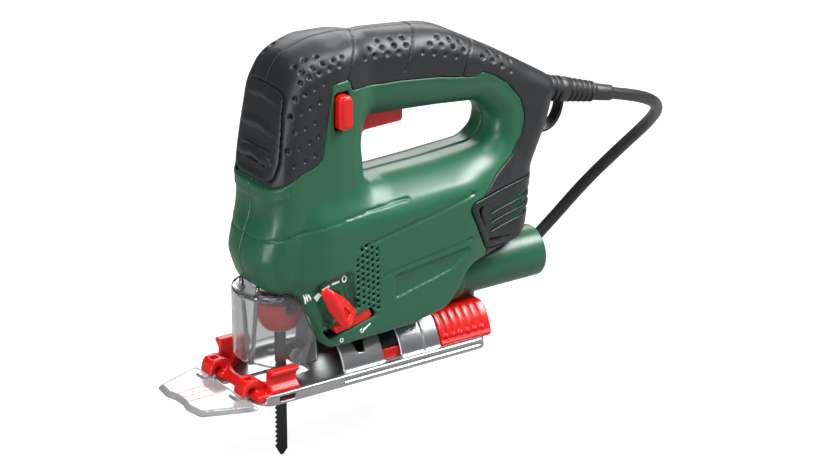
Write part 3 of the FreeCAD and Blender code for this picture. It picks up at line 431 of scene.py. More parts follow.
def screw_wells(b, shell):
    """The right half's round wells over the housing screws."""
    for x, z in SCREWS:
        hole = np.sqrt((b.X - x) ** 2 + (b.Z - z) ** 2) - 3.7
        shell = meet(shell, -np.maximum(hole, -(b.H - (screw_depth(x, z) - 7.8))), 0.5)
    return shell


def grooves(b, form, shell):
    """The sunk wedge field and the three lines that run over the side."""
    shell = meet(shell, -np.maximum(b.side(WEDGE), -(form + 1.5)), 0.5)
    upper = b.line([(33, 81.5), (46, 84), (61, 87.0), (90, 92.2), (114, 97.5)])
    lower = b.line([(50, 61.5), (61, 63.4), (112.6, 70.2)])
    fold = b.line([(70, 103), (30, 101), (0, 97.5), (-14, 94.5), (-28, 92.5)])
    deep = form + 1.1
    for seam, width in ((upper, 0.9), (lower, 0.7), (fold, 0.5)):
        shell = meet(shell, -np.maximum(seam - width, -deep), 0.35)
    return shell


def vent_holes(b, shell):
    """The field of small round air holes."""
    for x, z in VENT_DOTS:
        i, k = int((x - b.low[0]) / b.step), int((z - b.low[2]) / b.step)
        w = (slice(i - 3, i + 5), slice(None), slice(k - 3, k + 5))
        hole = np.sqrt((b.X[w[0]] - x) ** 2 + (b.Z[:, :, w[2]] - z) ** 2) - 1.05
        shell[w] = meet(shell[w], -np.maximum(hole, 24.0 - b.H), 0.25)
    return shell


def mouths(b, shell):
    """The trigger's slot, the mouth over the blade, the pipe's socket and the cord sleeve's hole."""
    trigger_slot = np.maximum(np.abs(b.X - 64) - 17.6, np.maximum(b.H - 9.2, np.abs(b.Z - 148) - 12))
    shell = meet(shell, -trigger_slot, 0.6)
    mouth = np.maximum(np.maximum(np.abs(b.X - 5.3) - 17.6, b.H - 16.4), np.abs(b.Z - 40) - 26)
    shell = meet(shell, -mouth, 0.6)
    bore = np.sqrt(b.H ** 2 + (b.Z - PIPE_AXIS_Z) ** 2)
    socket = np.maximum(bore - (PIPE_BORE + 1.5), np.abs(b.X - 107) - 11)
    shell = np.maximum(join(shell, socket, 2.0), -np.maximum(bore - PIPE_BORE, 96 - b.X))
    along, across = sleeve_axis(b)
    return np.maximum(shell, -np.maximum(across - 7.7, -12 - along))


def housing_half(side):
    b = Block((-40, -0.9, 20), (192, 36, 203), GRID)
    form = outer_form(b)
    shell = covered_skin(b, form)
    cavity = form + WALL
    if side < 0:
        backing = np.maximum(b.side(PANEL) - 2.0, np.maximum(26.0 - b.H, form + 1.0))
        cavity = np.maximum(cavity, -backing)
        shell = control_side(b, shell)
    else:
        shell = screw_wells(b, shell)
    shell = mouths(b, vent_holes(b, grooves(b, form, shell)))
    shell = np.maximum(shell, -cavity)
    shell = meet(shell, SHELL_GAP - b.H, 0.55)
    return net_object("shell_left" if side < 0 else "shell_right", shell, b, side)


DIMPLES = [(2.4, 192.4), (8.6, 194.9), (14.7, 196.8), (3.6, 190.0), (9.6, 192.0), (16.0, 193.7),
           (22.5, 194.6), (29.0, 195.0), (1.2, 185.0), (6.6, 187.7), (12.6, 189.3), (19.1, 190.5),
           (25.4, 191.5), (-2.8, 176.5), (2.9, 179.1), (8.7, 181.2), (15.1, 182.9), (-5.9, 166.6),
           (0.3, 168.5), (6.0, 170.6), (12.0, 172.7), (-4.5, 157.8), (2.3, 159.2), (8.6, 161.3),
           (-8.5, 147.2), (-2.4, 148.5), (4.9, 150.4), (10.9, 152.9), (-5.1, 138.4), (1.8, 139.9),
           (8.2, 142.1), (59.5, 196.0), (68.0, 195.3), (76.0, 194.4), (52.1, 193.2), (60.3, 192.4),
           (68.6, 191.9), (76.3, 190.9), (46.2, 190.0), (54.3, 189.1), (62.8, 188.6), (70.4, 188.0),
           (98.9, 190.6), (107.0, 188.0), (114.4, 185.2), (92.1, 188.3), (99.9, 186.6), (107.7, 184.0),
           (115.0, 180.8), (86.2, 185.1), (93.7, 183.1), (101.3, 181.0), (108.9, 178.4), (134.3, 174.6),
           (141.7, 170.9), (149.3, 166.6), (128.1, 174.0), (135.5, 170.3), (141.9, 166.0), (148.3, 161.6)]


def cross_seam(b, x, slant_h, slant_z):
    """Distance from a seam plane over the handle, given where it meets z 197.7 at depth 19."""
    plane = b.X - x - slant_h * (19.0 - b.H) - slant_z * (b.Z - 197.7)
    return np.abs(plane) / math.sqrt(1 + slant_h ** 2 + slant_z ** 2)


def grip_half(side):
    b = Block((-16, -0.62, 54), (191, 30, 202), FINE)
    form = outer_form(b)
    grip_side, pad_side, vent_side = b.side(GRIP), b.side(PAD), b.side(VENT)
    region = np.maximum(grip_side, np.maximum(0.35 - pad_side, 0.35 - vent_side))
    top = form - 0.35
    for x, slant_h, slant_z, lowest in ((40.3, 0.43, 0.40, 176), (82.4, 0.43, 0.40, 176),
                                        (126.0, 0.62, 0.39, 150)):
        seam = cross_seam(b, x, slant_h, slant_z)
        top = meet(top, -np.maximum(seam - 0.42, np.maximum(-(form + 0.5), lowest - b.Z)), 0.3)
    top = pits(top, form, b, DIMPLES, 1.75, 1.15)
    piece = meet(top, region, 0.7)
    if side < 0:
        piece = np.maximum(piece, 0.3 - b.side(rectangle(21.4, 32.4, 152.6, 175.4)))
    else:
        for x, z in SCREWS:
            hole = np.sqrt((b.X - x) ** 2 + (b.Z - z) ** 2) - 3.9
            piece = meet(piece, -hole, 0.4)
    piece = meet(piece, -np.maximum(sleeve_axis(b)[1] - 7.8, 160 - b.X), 0.8)
    piece = np.maximum(piece, -(form + 1.5))
    piece = meet(piece, COVER_GAP - b.H, 0.4)
    return net_object("soft_grip_left" if side < 0 else "soft_grip_right", piece, b, side)


def front_pad():
    b = Block((-28, -29, 122), (-3, 29, 194), 0.62)
    # the pad crosses the centre plane, so its depth is taken to either side
    b.H = np.abs(b.H)
    form = outer_form(b)
    region = b.side(PAD) + 0.2
    top = form - 0.7
    ring = np.abs(b.side(PAD) + 2.6) - 0.45
    top = meet(top, -np.maximum(ring, -(form + 0.1)), 0.25)
    for z in (175, 158, 141):
        across = np.sqrt(((b.Z - z + 0.16 * b.H) / 2.9) ** 2 + (b.H / 15.5) ** 2)
        swell = form - 0.7 - 1.5 * np.clip(1.15 - across, 0, 1)
        top = np.minimum(top, np.maximum(swell, (across - 1.15) * 2.5))
    piece = meet(top, region, 0.7)
    piece = np.maximum(piece, -(form + 1.4))
    return net_object("column_pad", piece, b)


def vent_half(side):
    b = Block((108, -0.7, 52), (172, 35, 99), FINE)
    form = outer_form(b)
    frame_side, plate_side = b.side(VENT), b.side(VENT_PLATE)
    band = meet(form - 0.7, np.maximum(frame_side + 0.2, -(frame_side + 4.6)), 0.7)
    plate = meet(form - 0.45, plate_side, 0.7)
    for z in (70.8, 76.4, 82.0):
        slot = b.side([(126.5, z - 1.1, 1), (126.5, z + 1.1, 1), (150, z + 3.6, 1), (175, z + 5),
                       (175, z + 2.6), (150, z + 1.2, 1)])
        plate = meet(plate, -np.maximum(slot, 4.5 - b.H), 0.5)
    piece = np.maximum(np.minimum(band, plate), -(form + 1.4))
    piece = meet(piece, COVER_GAP - b.H, 0.4)
    return net_object("vent_cover_left" if side < 0 else "vent_cover_right", piece, b, side)


shells = [housing_half(-1), housing_half(1)]
grips = [grip_half(-1), grip_half(1)]
pad = front_pad()
vents = [vent_half(-1), vent_half(1)]


# ---------------- turned and swept pieces
def lathe(name, profile, start, direction, segments=72):
    """A closed ring of (along, radius) turned about a line, in millimetres."""
    direction = np.array(direction, float) / np.linalg.norm(direction)
    side_u = np.cross(direction, (0, 0, 1) if abs(direction[1]) > 0.9 else (0, 1, 0))
    side_u = side_u / np.linalg.norm(side_u)
    side_v = np.cross(direction, side_u)
    vertices, faces = [], []
    count = len(profile)
    for s in range(segments):
        angle = 2 * math.pi * s / segments
        spoke = side_u * math.cos(angle) + side_v * math.sin(angle)
        for along, radius in profile:
            vertices.append(np.array(start) + direction * along + spoke * radius)
        for k in range(count):
            a, b = s * count + k, s * count + (k + 1) % count
            c, d = ((s + 1) % segments) * count + (k + 1) % count, ((s + 1) % segments) * count + k
            faces.append((a, d, c, b))
    return mesh_object(name, vertices, faces)


def rim(along, radius, sign_a, sign_r, fillet, steps=4):
    """A quarter turn of profile points round a corner."""
    return [(along + sign_a * fillet * (math.sin(t * math.pi / 2 / steps) - 1),
             radius + sign_r * fillet * (math.cos(t * math.pi / 2 / steps) - 1)) for t in range(steps + 1)]


tube_profile = [(0, 13.0), (0, 15.2), (0.4, 15.5), (20, 15.5)]
tube_profile += [(40 + k * 4, 15.5) for k in range(9)]
tube_profile += rim(82, 15.5, 1, 1, 1.2) + [(82, 13.6), (81.4, 13.0), (40, 13.0)]
tube = lathe("suction_pipe", tube_profile, (96, 0, PIPE_AXIS_Z), (1, 0, 0), 96)

sleeve_profile = [(-9, 4.0), (-9, 7.3), (0.0, 7.3), (1.0, 7.5), (2.2, 7.5), (2.6, 6.6)]
rib_at = 3.6
for rib in range(9):
    top = 8.3 - 0.24 * rib
    if rib == 3:
        sleeve_profile += [(rib_at, top - 1.4), (rib_at + 0.2, top + 0.1), (rib_at + 0.6, top + 0.35),
                           (rib_at + 6.4, top + 0.1), (rib_at + 6.8, top - 0.2), (rib_at + 7.0, top - 1.6)]
        rib_at += 8.4
        continue
    sleeve_profile += [(rib_at, top - 1.5), (rib_at + 0.25, top - 0.3), (rib_at + 0.7, top),
                       (rib_at + 1.9, top), (rib_at + 2.35, top - 0.3), (rib_at + 2.6, top - 1.6)]
    rib_at += 4.1
sleeve_profile += [(rib_at + 0.6, 5.3), (55.0, 4.9), (57.6, 4.8), (58.0, 4.4), (58.0, 3.8), (40, 3.8)]
sleeve = lathe("cord_boot", sleeve_profile, (SLEEVE_X, 0, SLEEVE_Z),
               (SLEEVE_COS, 0, -SLEEVE_SIN), 64)


def sweep_band(name, points, half_width, half_thick):
    """A band along points near the XZ plane, as wide as half_width to either side of it."""
    guide = spline_object(name + "_guide", [(x * MM, y * MM, z * MM) for x, y, z in points], 0.0, 12)
    line = bpy.data.meshes.new_from_object(guide)
    places = [np.array(v.co) / MM for v in line.vertices]
    bpy.data.objects.remove(guide)
    bpy.data.meshes.remove(line)
    section = rounded([(-half_width, -half_thick, 0.8), (half_width, -half_thick, 0.8),
                       (half_width, half_thick, 0.8), (-half_width, half_thick, 0.8)], 3)
    vertices, faces = [], []
    count = len(section)
    for i, place in enumerate(places):
        tangent = places[min(i + 1, len(places) - 1)] - places[max(i - 1, 0)]
        tangent /= np.linalg.norm(tangent)
        across = np.array((0.0, 1.0, 0.0)) - tangent * tangent[1]
        across /= np.linalg.norm(across)
        up = np.cross(tangent, across)
        vertices += [place + across * u + up * v for u, v in section]
        if i:
            a = (i - 1) * count
            faces += [(a + k, a + (k + 1) % count, a + count + (k + 1) % count, a + count + k)
                      for k in range(count)]
    faces.append(tuple(range(count))[::-1])
    faces.append(tuple(range(len(vertices) - count, len(vertices))))
    return mesh_object(name, vertices, faces)


strap = sweep_band("boot_strap", [(196.5, 0, 130.5), (195.5, 0, 121), (187.5, 0, 113), (178, 0, 113.5),
                                  (171.5, 0, 106.5)], 4.2, 1.1)


# ---------------- buttons, lever and slider
def side_block(name, outline, y0, y1, edge, step=0.4, extra=None):
    """A block with a side outline between two depths, with rounded edges."""
    xs, zs = [p[0] for p in outline], [p[1] for p in outline]
    b = Block((min(xs) - 2, y0 - 2, min(zs) - 2), (max(xs) + 2, y1 + 2, max(zs) + 2), step)
    field = meet(b.side(outline), np.abs(b.H - (y0 + y1) / 2) - (y1 - y0) / 2, edge)
    if extra:
        field = extra(b, field)
    return net_object(name, field, b)


def trigger_detail(b, field):
    finger = np.sqrt((b.X - 41.5) ** 2 + (b.Z - 134.0) ** 2) - 8.0
    return meet(field, -finger, 0.8)


trigger = side_block("trigger_key", [(47.9, 157.6, 1), (47.9, 138.8, 0.6), (50.5, 138.6, 0.6),
                                     (54, 141.4, 3), (79.9, 142.0, 2.2), (80.3, 157.6, 1)],
                     -8.3, 8.3, 1.4, 0.5, trigger_detail)


def button_detail(b, field):
    face = b.side([(25.4, 155.4, 1), (30.6, 155.4, 2), (30.6, 172.6, 2), (25.4, 172.6, 1)])
    return join(field, np.maximum(face, np.abs(b.H + 31.2) - 0.6), 0.5)


button = side_block("lock_key", [(22.6, 154, 2.5), (31.2, 154, 2.5), (31.2, 174, 3.5), (22.6, 174, 2.5)],
                    -30.8, -18.3, 1.2, 0.4, button_detail)


def lever_detail(b, field):
    spine = b.line([(13.5, 57.5), (23.5, 38.5)])
    crown = -(34.0 + 3.4 * np.exp(-(spine / 4.2) ** 2)) - b.H
    hollow = b.side([(20.6, 51.6, 0.6), (26.4, 44.6, 0.8), (21.4, 42.4, 1.2)])
    field = meet(field, crown, 0.5)
    return meet(field, -np.maximum(hollow, b.H + 34.0), 0.3)


lever = side_block("orbit_lever", [(11.4, 63.6, 0.8), (7.2, 61.4, 0.8), (12.6, 48.6, 10), (20.2, 37.8, 1.5),
                                   (23.6, 36.4, 1.2), (31.6, 44.2, 1.5), (22.4, 55.3, 12)],
                   -37.4, -32.3, 0.7, 0.4, lever_detail)
hub_profile = rim(7.0, 5.8, 1, 1, 0.6) + [(7.0, 3.2), (0, 3.2), (0, 5.8)]
hub = lathe("orbit_hub", hub_profile, (21.5, -33.0, 48), (0, 1, 0), 40)
hub.parent = lever


slider = side_block("blower_bar", [(16.8, 37.2, 0.8), (18.2, 33.0, 0.8), (38.6, 36.8, 0.8), (42.4, 38.9, 0.8),
                                   (40.2, 44.4, 0.8), (35.0, 42.6, 0.8)], -32.1, -27.2, 0.6, 0.4)


# ---------------- front hood
HOOD_RADIUS, HOOD_WALL = 22.8, 1.9


def hood():
    """A clear wall, half round in front, with openings at the rear, over the blade and for the rod."""
    b = Block((-36, -27, 12), (16, 27, 64), 0.8)
    plan = np.where(b.X < -5, np.sqrt((b.X + 5) ** 2 + b.H ** 2), np.abs(b.H)) - HOOD_RADIUS
    side = b.side([(-40, 17.5), (-25, 16.5, 1), (-8, 14, 2), (12, 14, 1), (11.5, 30, 3), (3, 53, 3),
                   (-3, 58, 3), (-26, 60, 5), (-33, 57), (-40, 54)])
    lean = np.maximum(plan, (b.Z - 74.5 - 0.55 * b.X) * 0.85)
    outer = meet(lean, side, 2.0)
    inner = np.maximum(np.maximum(plan + HOOD_WALL, b.Z - 56.2), (b.Z - 72.0 - 0.55 * b.X) * 0.85)
    inner = np.minimum(inner, np.maximum(plan + HOOD_WALL, b.Z - 22))
    shell = meet(outer, -inner, 0.4)
    shell = np.maximum(shell, -np.maximum(np.abs(b.H) - 18.0, -8 - b.X))
    shell = np.maximum(shell, -np.maximum(np.sqrt(b.X ** 2 + b.H ** 2) - 15.8, 40 - b.Z))
    return net_object("dust_hood", shell, b)


visor = hood()


# ---------------- sole, saddle, store, clip and guide
SLOT_X = -15.8
RIB_START, RIB_PITCH = 97.5, 5.1


def sole():
    b = Block((-38, -37, -1.5), (127, 37, 9.5), 0.75)
    wide = np.abs(b.H)
    plan = b.plan(mirrored_plan([(-34, 25, 9), (-29, 33.6, 9), (-16, 34, 20), (122, 34, 6)]))
    plate = meet(plan, np.abs(b.Z - 1) - 1, 0.5)
    edge = np.where(b.X < -5, 31.6, 29.2)
    lip = meet(np.maximum(plan, edge - wide), np.abs(b.Z - 3.3) - 3.3, 1.4)
    groove = np.maximum(np.abs(b.Z - 3.3) - 0.8, 33.2 - wide)
    lip = np.where(b.X > 22, meet(lip, -groove, 0.4), lip)
    bead = np.maximum(np.sqrt((wide - 26.6) ** 2 + (b.Z - 1.0) ** 2) - 2.9, np.abs(b.X - 63) - 55)
    steel = join(join(plate, lip, 1.0), bead, 1.0)
    notch = b.plan([(-40, -6.5), (17, -6.5, 4), (17, 6.5, 4), (-40, 6.5)])
    steel = meet(steel, -notch, 0.4)
    slot = np.maximum(np.abs(b.X - SLOT_X) - 5.2, np.abs(b.Z - 3.1) - 1.5)
    steel = meet(steel, -np.maximum(slot, 24 - wide), 0.3)
    return net_object("stamped_sole", np.maximum(steel, -1.5 - b.Z), b)


def saddle():
    b = Block((22, -33, 0), (98, 33, 29.5), 0.7)
    wide = np.abs(b.H)
    radius = np.sqrt(b.H ** 2 + b.Z ** 2)
    barrel = meet(np.abs(radius - 26.4) - 1.1, np.abs(b.X - 60) - 33.5, 0.4)
    window = np.maximum(np.abs(b.X - 60.3) - 5.9, np.maximum(5.4 - b.Z, b.Z - 23.5))
    notch = b.side([(38.2, 14), (40, 13.4, 0.8), (43, 13.6, 0.8), (44.6, 18), (46.5, 19.5), (46.5, 24),
                    (36.5, 24), (36.5, 18.5)])
    barrel = meet(meet(barrel, -window, 0.4), -notch, 0.4)
    foot = meet(np.maximum(np.abs(wide - 27.4) - 2.6, np.abs(b.X - 60) - 33.5), np.abs(b.Z - 3.4) - 1.3, 0.8)
    seam = np.maximum(np.abs(b.X - 82) - 0.3, 27.1 - radius)
    field = meet(join(barrel, foot, 2.4), -seam, 0.2)
    return net_object("sole_saddle", np.maximum(field, 1.9 - b.Z), b)


def saddle_lining(name, low, high):
    b = Block((46, -28, 0), (90, 28, 28), 0.8)
    radius = np.sqrt(b.H ** 2 + b.Z ** 2)
    ring = meet(np.abs(radius - 23.8) - 1.2, np.abs(b.X - 68) - 20, 0.4)
    return net_object(name, meet(ring, np.maximum(low - b.Z, b.Z - high), 0.3), b)


def blade_store():
    b = Block((93, -28, 1), (137, 28, 23), 0.6)
    wide = np.abs(b.H)
    radius = np.sqrt(b.H ** 2 + b.Z ** 2)
    rib = np.abs(((b.X - RIB_START) / RIB_PITCH) % 1 - 0.5) * RIB_PITCH
    outer = radius - 24.3 + 0.9 * np.exp(-(rib / 0.75) ** 2) * (b.X < 129)
    body = meet(outer, np.abs(b.X - 113.7) - 18.3, 0.9)
    body = meet(body, np.abs(b.Z - 11.4) - 9.0, 0.6)
    room = np.maximum(np.maximum(radius - 21.6, b.X - 129.5), np.abs(b.Z - 11.3) - 7.4)
    flange = np.maximum(np.abs(wide - 23.6) - 1.7, np.abs(b.X - 113) - 17.4)
    flange = meet(flange, np.abs(b.Z - 4.0) - 1.5, 0.6)
    bump_x = np.abs(((b.X - RIB_START) / RIB_PITCH) % 1) * RIB_PITCH - RIB_PITCH / 2
    bump = np.sqrt(bump_x ** 2 + (b.Z - 8.0) ** 2 + (wide - 22.6) ** 2) - 1.3
    bump = np.maximum(bump, np.abs(b.X - 113) - 15)
    field = join(join(np.maximum(body, -room), flange, 0.8), bump, 0.4)
    key = np.sqrt(b.H ** 2 + (b.Z - 6.9) ** 2) - 2.9
    return net_object("blade_store", np.maximum(np.maximum(field, -key), 2.35 - b.Z), b)


def front_clip():
    b = Block((-47, -35, 0), (-3, 35, 21), 0.6)
    wide = np.abs(b.H)
    hook_side = b.side([(-24, 2), (-24, 10.0, 3), (-29.5, 13.6, 5), (-37.4, 12.8, 4), (-39.6, 4.6, 1),
                        (-36.4, 4.2, 1), (-34.8, 8.8, 2), (-30.8, 9, 2), (-29.5, 2)])
    hook = meet(hook_side, np.abs(wide - 18) - 5.6, 1.1)
    hole = np.maximum(np.maximum(np.abs(b.X + 33.0) - 2.0, np.abs(wide - 18) - 2.0), 11.0 - b.Z)
    hook = meet(hook, -hole, 0.25)
    bar = meet(np.maximum(np.abs(b.X + 29.5) - 2.5, wide - 18), np.abs(b.Z - 3.8) - 1.9, 0.7)
    pad_block = np.maximum(np.abs(b.X + 28.6) - 5.0, np.abs(wide - 20.5) - 10.3)
    pad_block = meet(pad_block, np.abs(b.Z - 4) - 2.1, 1.0)
    ring = np.sqrt((b.X + 3) ** 2 + b.H ** 2)
    collar = meet(np.maximum(np.abs(ring - 26.2) - 1.6, b.X + 8), np.abs(b.Z - 5.2) - 3.2, 0.8)
    section = outline_field([(24.2, 1.9), (31.0, 1.9), (31.2, 7.4, 1.2), (27.6, 10.6, 3), (27.6, 14.2, 3),
                             (31.2, 17.2, 1), (31.0, 19.0, 0.8), (25.2, 19.0, 1.5), (24.2, 16, 2)],
                            np.abs(b.h), b.z)[None, :, :]
    wing = meet(section, np.abs(b.X + 15.4) - 9.4, 0.8)
    field = join(join(join(pad_block, hook, 1.2), bar, 0.8), collar, 1.0)
    view = np.maximum(np.abs(b.X - SLOT_X) - 5.6, np.maximum(b.Z - 5.0, 29.4 - wide))
    field = np.maximum(np.maximum(join(field, wing, 0.8), 1.9 - b.Z), -view)
    return net_object("front_clip", field, b)


def line_guide():
    b = Block((-80, -38, -1), (-33, 38, 8), 0.7)
    wide = np.abs(b.H)
    plan = b.plan(mirrored_plan([(-67.5, 4, 2), (-69.5, 11, 3), (-67.5, 24, 3), (-40, 34, 4),
                                 (-34.4, 34, 2)]))
    sheet = meet((plan + 1.1 * np.maximum(b.Z - 0.6, 0)) * 0.8, np.abs(b.Z - 1.5) - 1.5, 0.4)
    foot = meet(np.maximum(np.abs(b.X + 38.6) - 4.0, np.abs(wide - 18) - 4.4), np.abs(b.Z - 3.0) - 1.6, 0.5)
    return net_object("line_guide", join(sheet, foot, 0.6), b)


base = sole()
cradle = saddle()
lining = saddle_lining("saddle_lining", 2, 10.6)
# The lining's upper band, from z 11 up, is black to stand for the shade inside the saddle's window: painted
# shade, not the lining's own colour, which stays red below.
painted_shade_band = saddle_lining("saddle_painted_shade_band", 11.0, 27)
painted_shade_band.parent = lining
store = blade_store()
clip = front_clip()
guide = line_guide()

BOX_FACES = ((0, 1, 3, 2), (4, 6, 7, 5), (0, 4, 5, 1), (2, 3, 7, 6), (1, 5, 7, 3), (0, 2, 6, 4))


def guide_marks():
    """The dashes printed on the line guide, as thin boxes."""
    vertices, faces = [], []
    bars = [(-65 + 4.4 * k, y, 3.4, 0.45) for k in range(5) for y in (-6.5, 0.0, 6.5)]
    bars += [(-56.5, -3.2, 0.5, 2.4), (-56.5, 3.2, 0.5, 2.4)]
    for x, y, long, wide in bars:
        start = len(vertices)
        vertices += [(x + u * long, y + (v - 0.5) * wide, 3.0 + w * 0.15)
                     for u in (0, 1) for v in (0, 1) for w in (0, 1)]
        faces += [tuple(start + k for k in face) for face in BOX_FACES]
    return mesh_object("guide_marks", vertices, faces, False)


guide_print = guide_marks()
guide_print.parent = guide

screw_profile = [(0, 0.1), (0, 1.8), (11.5, 1.8), (12, 2.2), (12, 3.3), (13.4, 3.3), (14.1, 2.7),
                 (14.2, 2.0), (14.2, 1.6), (12.8, 1.3), (12.8, 0.1)]
screws = []
for x, z in SCREWS:
    start = (x, screw_depth(x, z) - 20.4, z)
    screws.append(lathe("housing_screw_%d" % len(screws), screw_profile, start, (0, 1, 0), 28))
for extra in screws[1:]:
    extra.parent = screws[0]

guard = sweep_band("guard_wires", [(-19.5, -9, 63), (-19.5, -5.4, 38), (-19.6, -2.4, 17), (-19.8, -1.6, 12.8),
                                   (-19.8, 1.6, 12.8), (-19.6, 2.4, 17), (-19.5, 5.4, 38), (-19.5, 9, 63)],
                   1.1, 1.1)


def clamp_bowl():
    """The clamp's open bowl, with the rear of its upper part cut away for the rod guide."""
    b = Block((-16, -16, 30), (16, 16, 51), 0.55)
    radius = np.sqrt(b.X ** 2 + b.H ** 2)
    outside = np.interp(b.z, [31.6, 32.4, 33.6, 35.6, 38.6, 42, 51], [8.9, 9.7, 10.6, 11.8, 12.8, 13.3, 13.3])
    inside = np.interp(b.z, [31.6, 34, 37, 42, 51], [8.4, 8.4, 9.6, 11.4, 11.8])
    wall = np.maximum((radius - outside[None, None, :]) * 0.85, (inside[None, None, :] - radius) * 0.85)
    field = meet(wall, np.abs(b.Z - 40.3) - 8.7, 0.5)
    field = meet(field, -np.maximum(-3 - b.X, 43.2 - b.Z), 0.5)
    return net_object("clamp_bowl", field, b)


bowl = clamp_bowl()


# ---------------- markings in the panel
def marking(name, shapes, depth=30.0, height=0.5):
    """Flat raised marks on the left side; each is a closed outline of (x, z) points."""
    vertices, faces = [], []
    for outline in shapes:
        start = len(vertices)
        count = len(outline)
        vertices += [(x, -depth, z) for x, z in outline] + [(x, -depth - height, z) for x, z in outline]
        faces.append(tuple(start + count + k for k in range(count)))
        faces.append(tuple(start + k for k in range(count))[::-1])
        faces += [(start + k, start + (k + 1) % count, start + count + (k + 1) % count, start + count + k)
                  for k in range(count)]
    return mesh_object(name, vertices, faces, False)


def ring_marks(x, z, radius, width, tall=1.0, steps=20):
    """A ring of short quads round (x, z), tall times as high as it is wide."""
    inner = [(x + radius * math.cos(a), z + tall * radius * math.sin(a))
             for a in (2 * math.pi * k / steps for k in range(steps + 1))]
    outer = [(x + (radius + width) * math.cos(a), z + tall * (radius + width) * math.sin(a))
             for a in (2 * math.pi * k / steps for k in range(steps + 1))]
    return [[inner[k], outer[k], outer[k + 1], inner[k + 1]] for k in range(steps)]


SCALE = [[(16.4, 62.8), (21.4, 63.6), (21.4, 64.6), (16.4, 64.0)],
         [(9.6, 61.5), (10.9, 60.0), (15.4, 62.4), (14.4, 63.5)],
         [(4.4, 58.3), (6.3, 55.3), (9.3, 58.6), (7.7, 60.3)]]
marks = marking("scale_marks", ring_marks(24.8, 64.9, 1.0, 0.7, 1.3) + SCALE)
FLAME = [[(-4.6, 63.3), (-3.6, 59.6), (-3.2, 57.2), (-2.5, 57.2), (-2.6, 60.5)],
         [(-3.0, 63.2), (-2.2, 60.0), (-1.6, 58.0), (-1.0, 58.2), (-1.4, 61.0)],
         [(-1.9, 62.9), (-0.6, 60.6), (0.7, 58.0), (0.9, 59.4), (0.0, 61.6)]]
BLOW = [[(33.2, 31.6), (34.6, 33.0), (34.9, 32.5), (33.8, 31.2)],
        [(35.2, 31.9), (40.6, 34.9), (40.9, 34.3), (36.0, 31.0)],
        [(34.0, 30.6), (36.2, 31.0), (36.0, 30.4), (34.2, 30.1)]]
icons = marking("side_icons", ring_marks(21.1, 28.9, 0.8, 0.5) + FLAME + BLOW, 32.75, 0.25)


# ---------------- materials
def add_node(tree, kind, values):
    """A new node of the tree with these input values."""
    node = tree.nodes.new(kind)
    for socket, value in values.items():
        node.inputs[socket].default_value = value
    return node


def shader(name, colour, rough=0.45, metal=0.0, grain=0.0, grain_scale=900.0, mottle=0.06,
           transmission=0.0, specular=0.5, stretch=(1, 1, 1), vary=0.08):
    """A surface whose colour and gloss vary in soft clouds, with a fine grain as bump."""
    material = bpy.data.materials.new(name)
    material.use_nodes = True
    tree = material.node_tree
    tree.nodes.clear()
    output = tree.nodes.new("ShaderNodeOutputMaterial")
    body = add_node(tree, "ShaderNodeBsdfPrincipled", {
        "Metallic": metal, "Specular IOR Level": specular, "Transmission Weight": transmission})
    tree.links.new(body.outputs[0], output.inputs[0])
    place = tree.nodes.new("ShaderNodeTexCoord")
    spread = add_node(tree, "ShaderNodeMapping", {"Scale": stretch})
    tree.links.new(place.outputs["Object"], spread.inputs["Vector"])
    cloud = add_node(tree, "ShaderNodeTexNoise", {"Scale": 40.0, "Detail": 4.0})
    tree.links.new(spread.outputs[0], cloud.inputs["Vector"])
    blend = tree.nodes.new("ShaderNodeMix")
    blend.data_type = "RGBA"
    blend.inputs["A"].default_value = tuple(c * (1 - mottle) for c in colour) + (1,)
    blend.inputs["B"].default_value = tuple(min(1, c * (1 + mottle)) for c in colour) + (1,)
    tree.links.new(cloud.outputs["Fac"], blend.inputs["Factor"])
    tree.links.new(blend.outputs["Result"], body.inputs["Base Color"])
    gloss = add_node(tree, "ShaderNodeMapRange", {
        "To Min": max(0.02, rough - vary), "To Max": min(1.0, rough + vary)})
    tree.links.new(cloud.outputs["Fac"], gloss.inputs["Value"])
    tree.links.new(gloss.outputs[0], body.inputs["Roughness"])
    if grain:
        speck = add_node(tree, "ShaderNodeTexNoise", {"Scale": grain_scale, "Detail": 3.0})
        tree.links.new(spread.outputs[0], speck.inputs["Vector"])
        bump = add_node(tree, "ShaderNodeBump", {"Strength": grain, "Distance": 0.0004})
        tree.links.new(speck.outputs["Fac"], bump.inputs["Height"])
        tree.links.new(bump.outputs[0], body.inputs["Normal"])
    return material


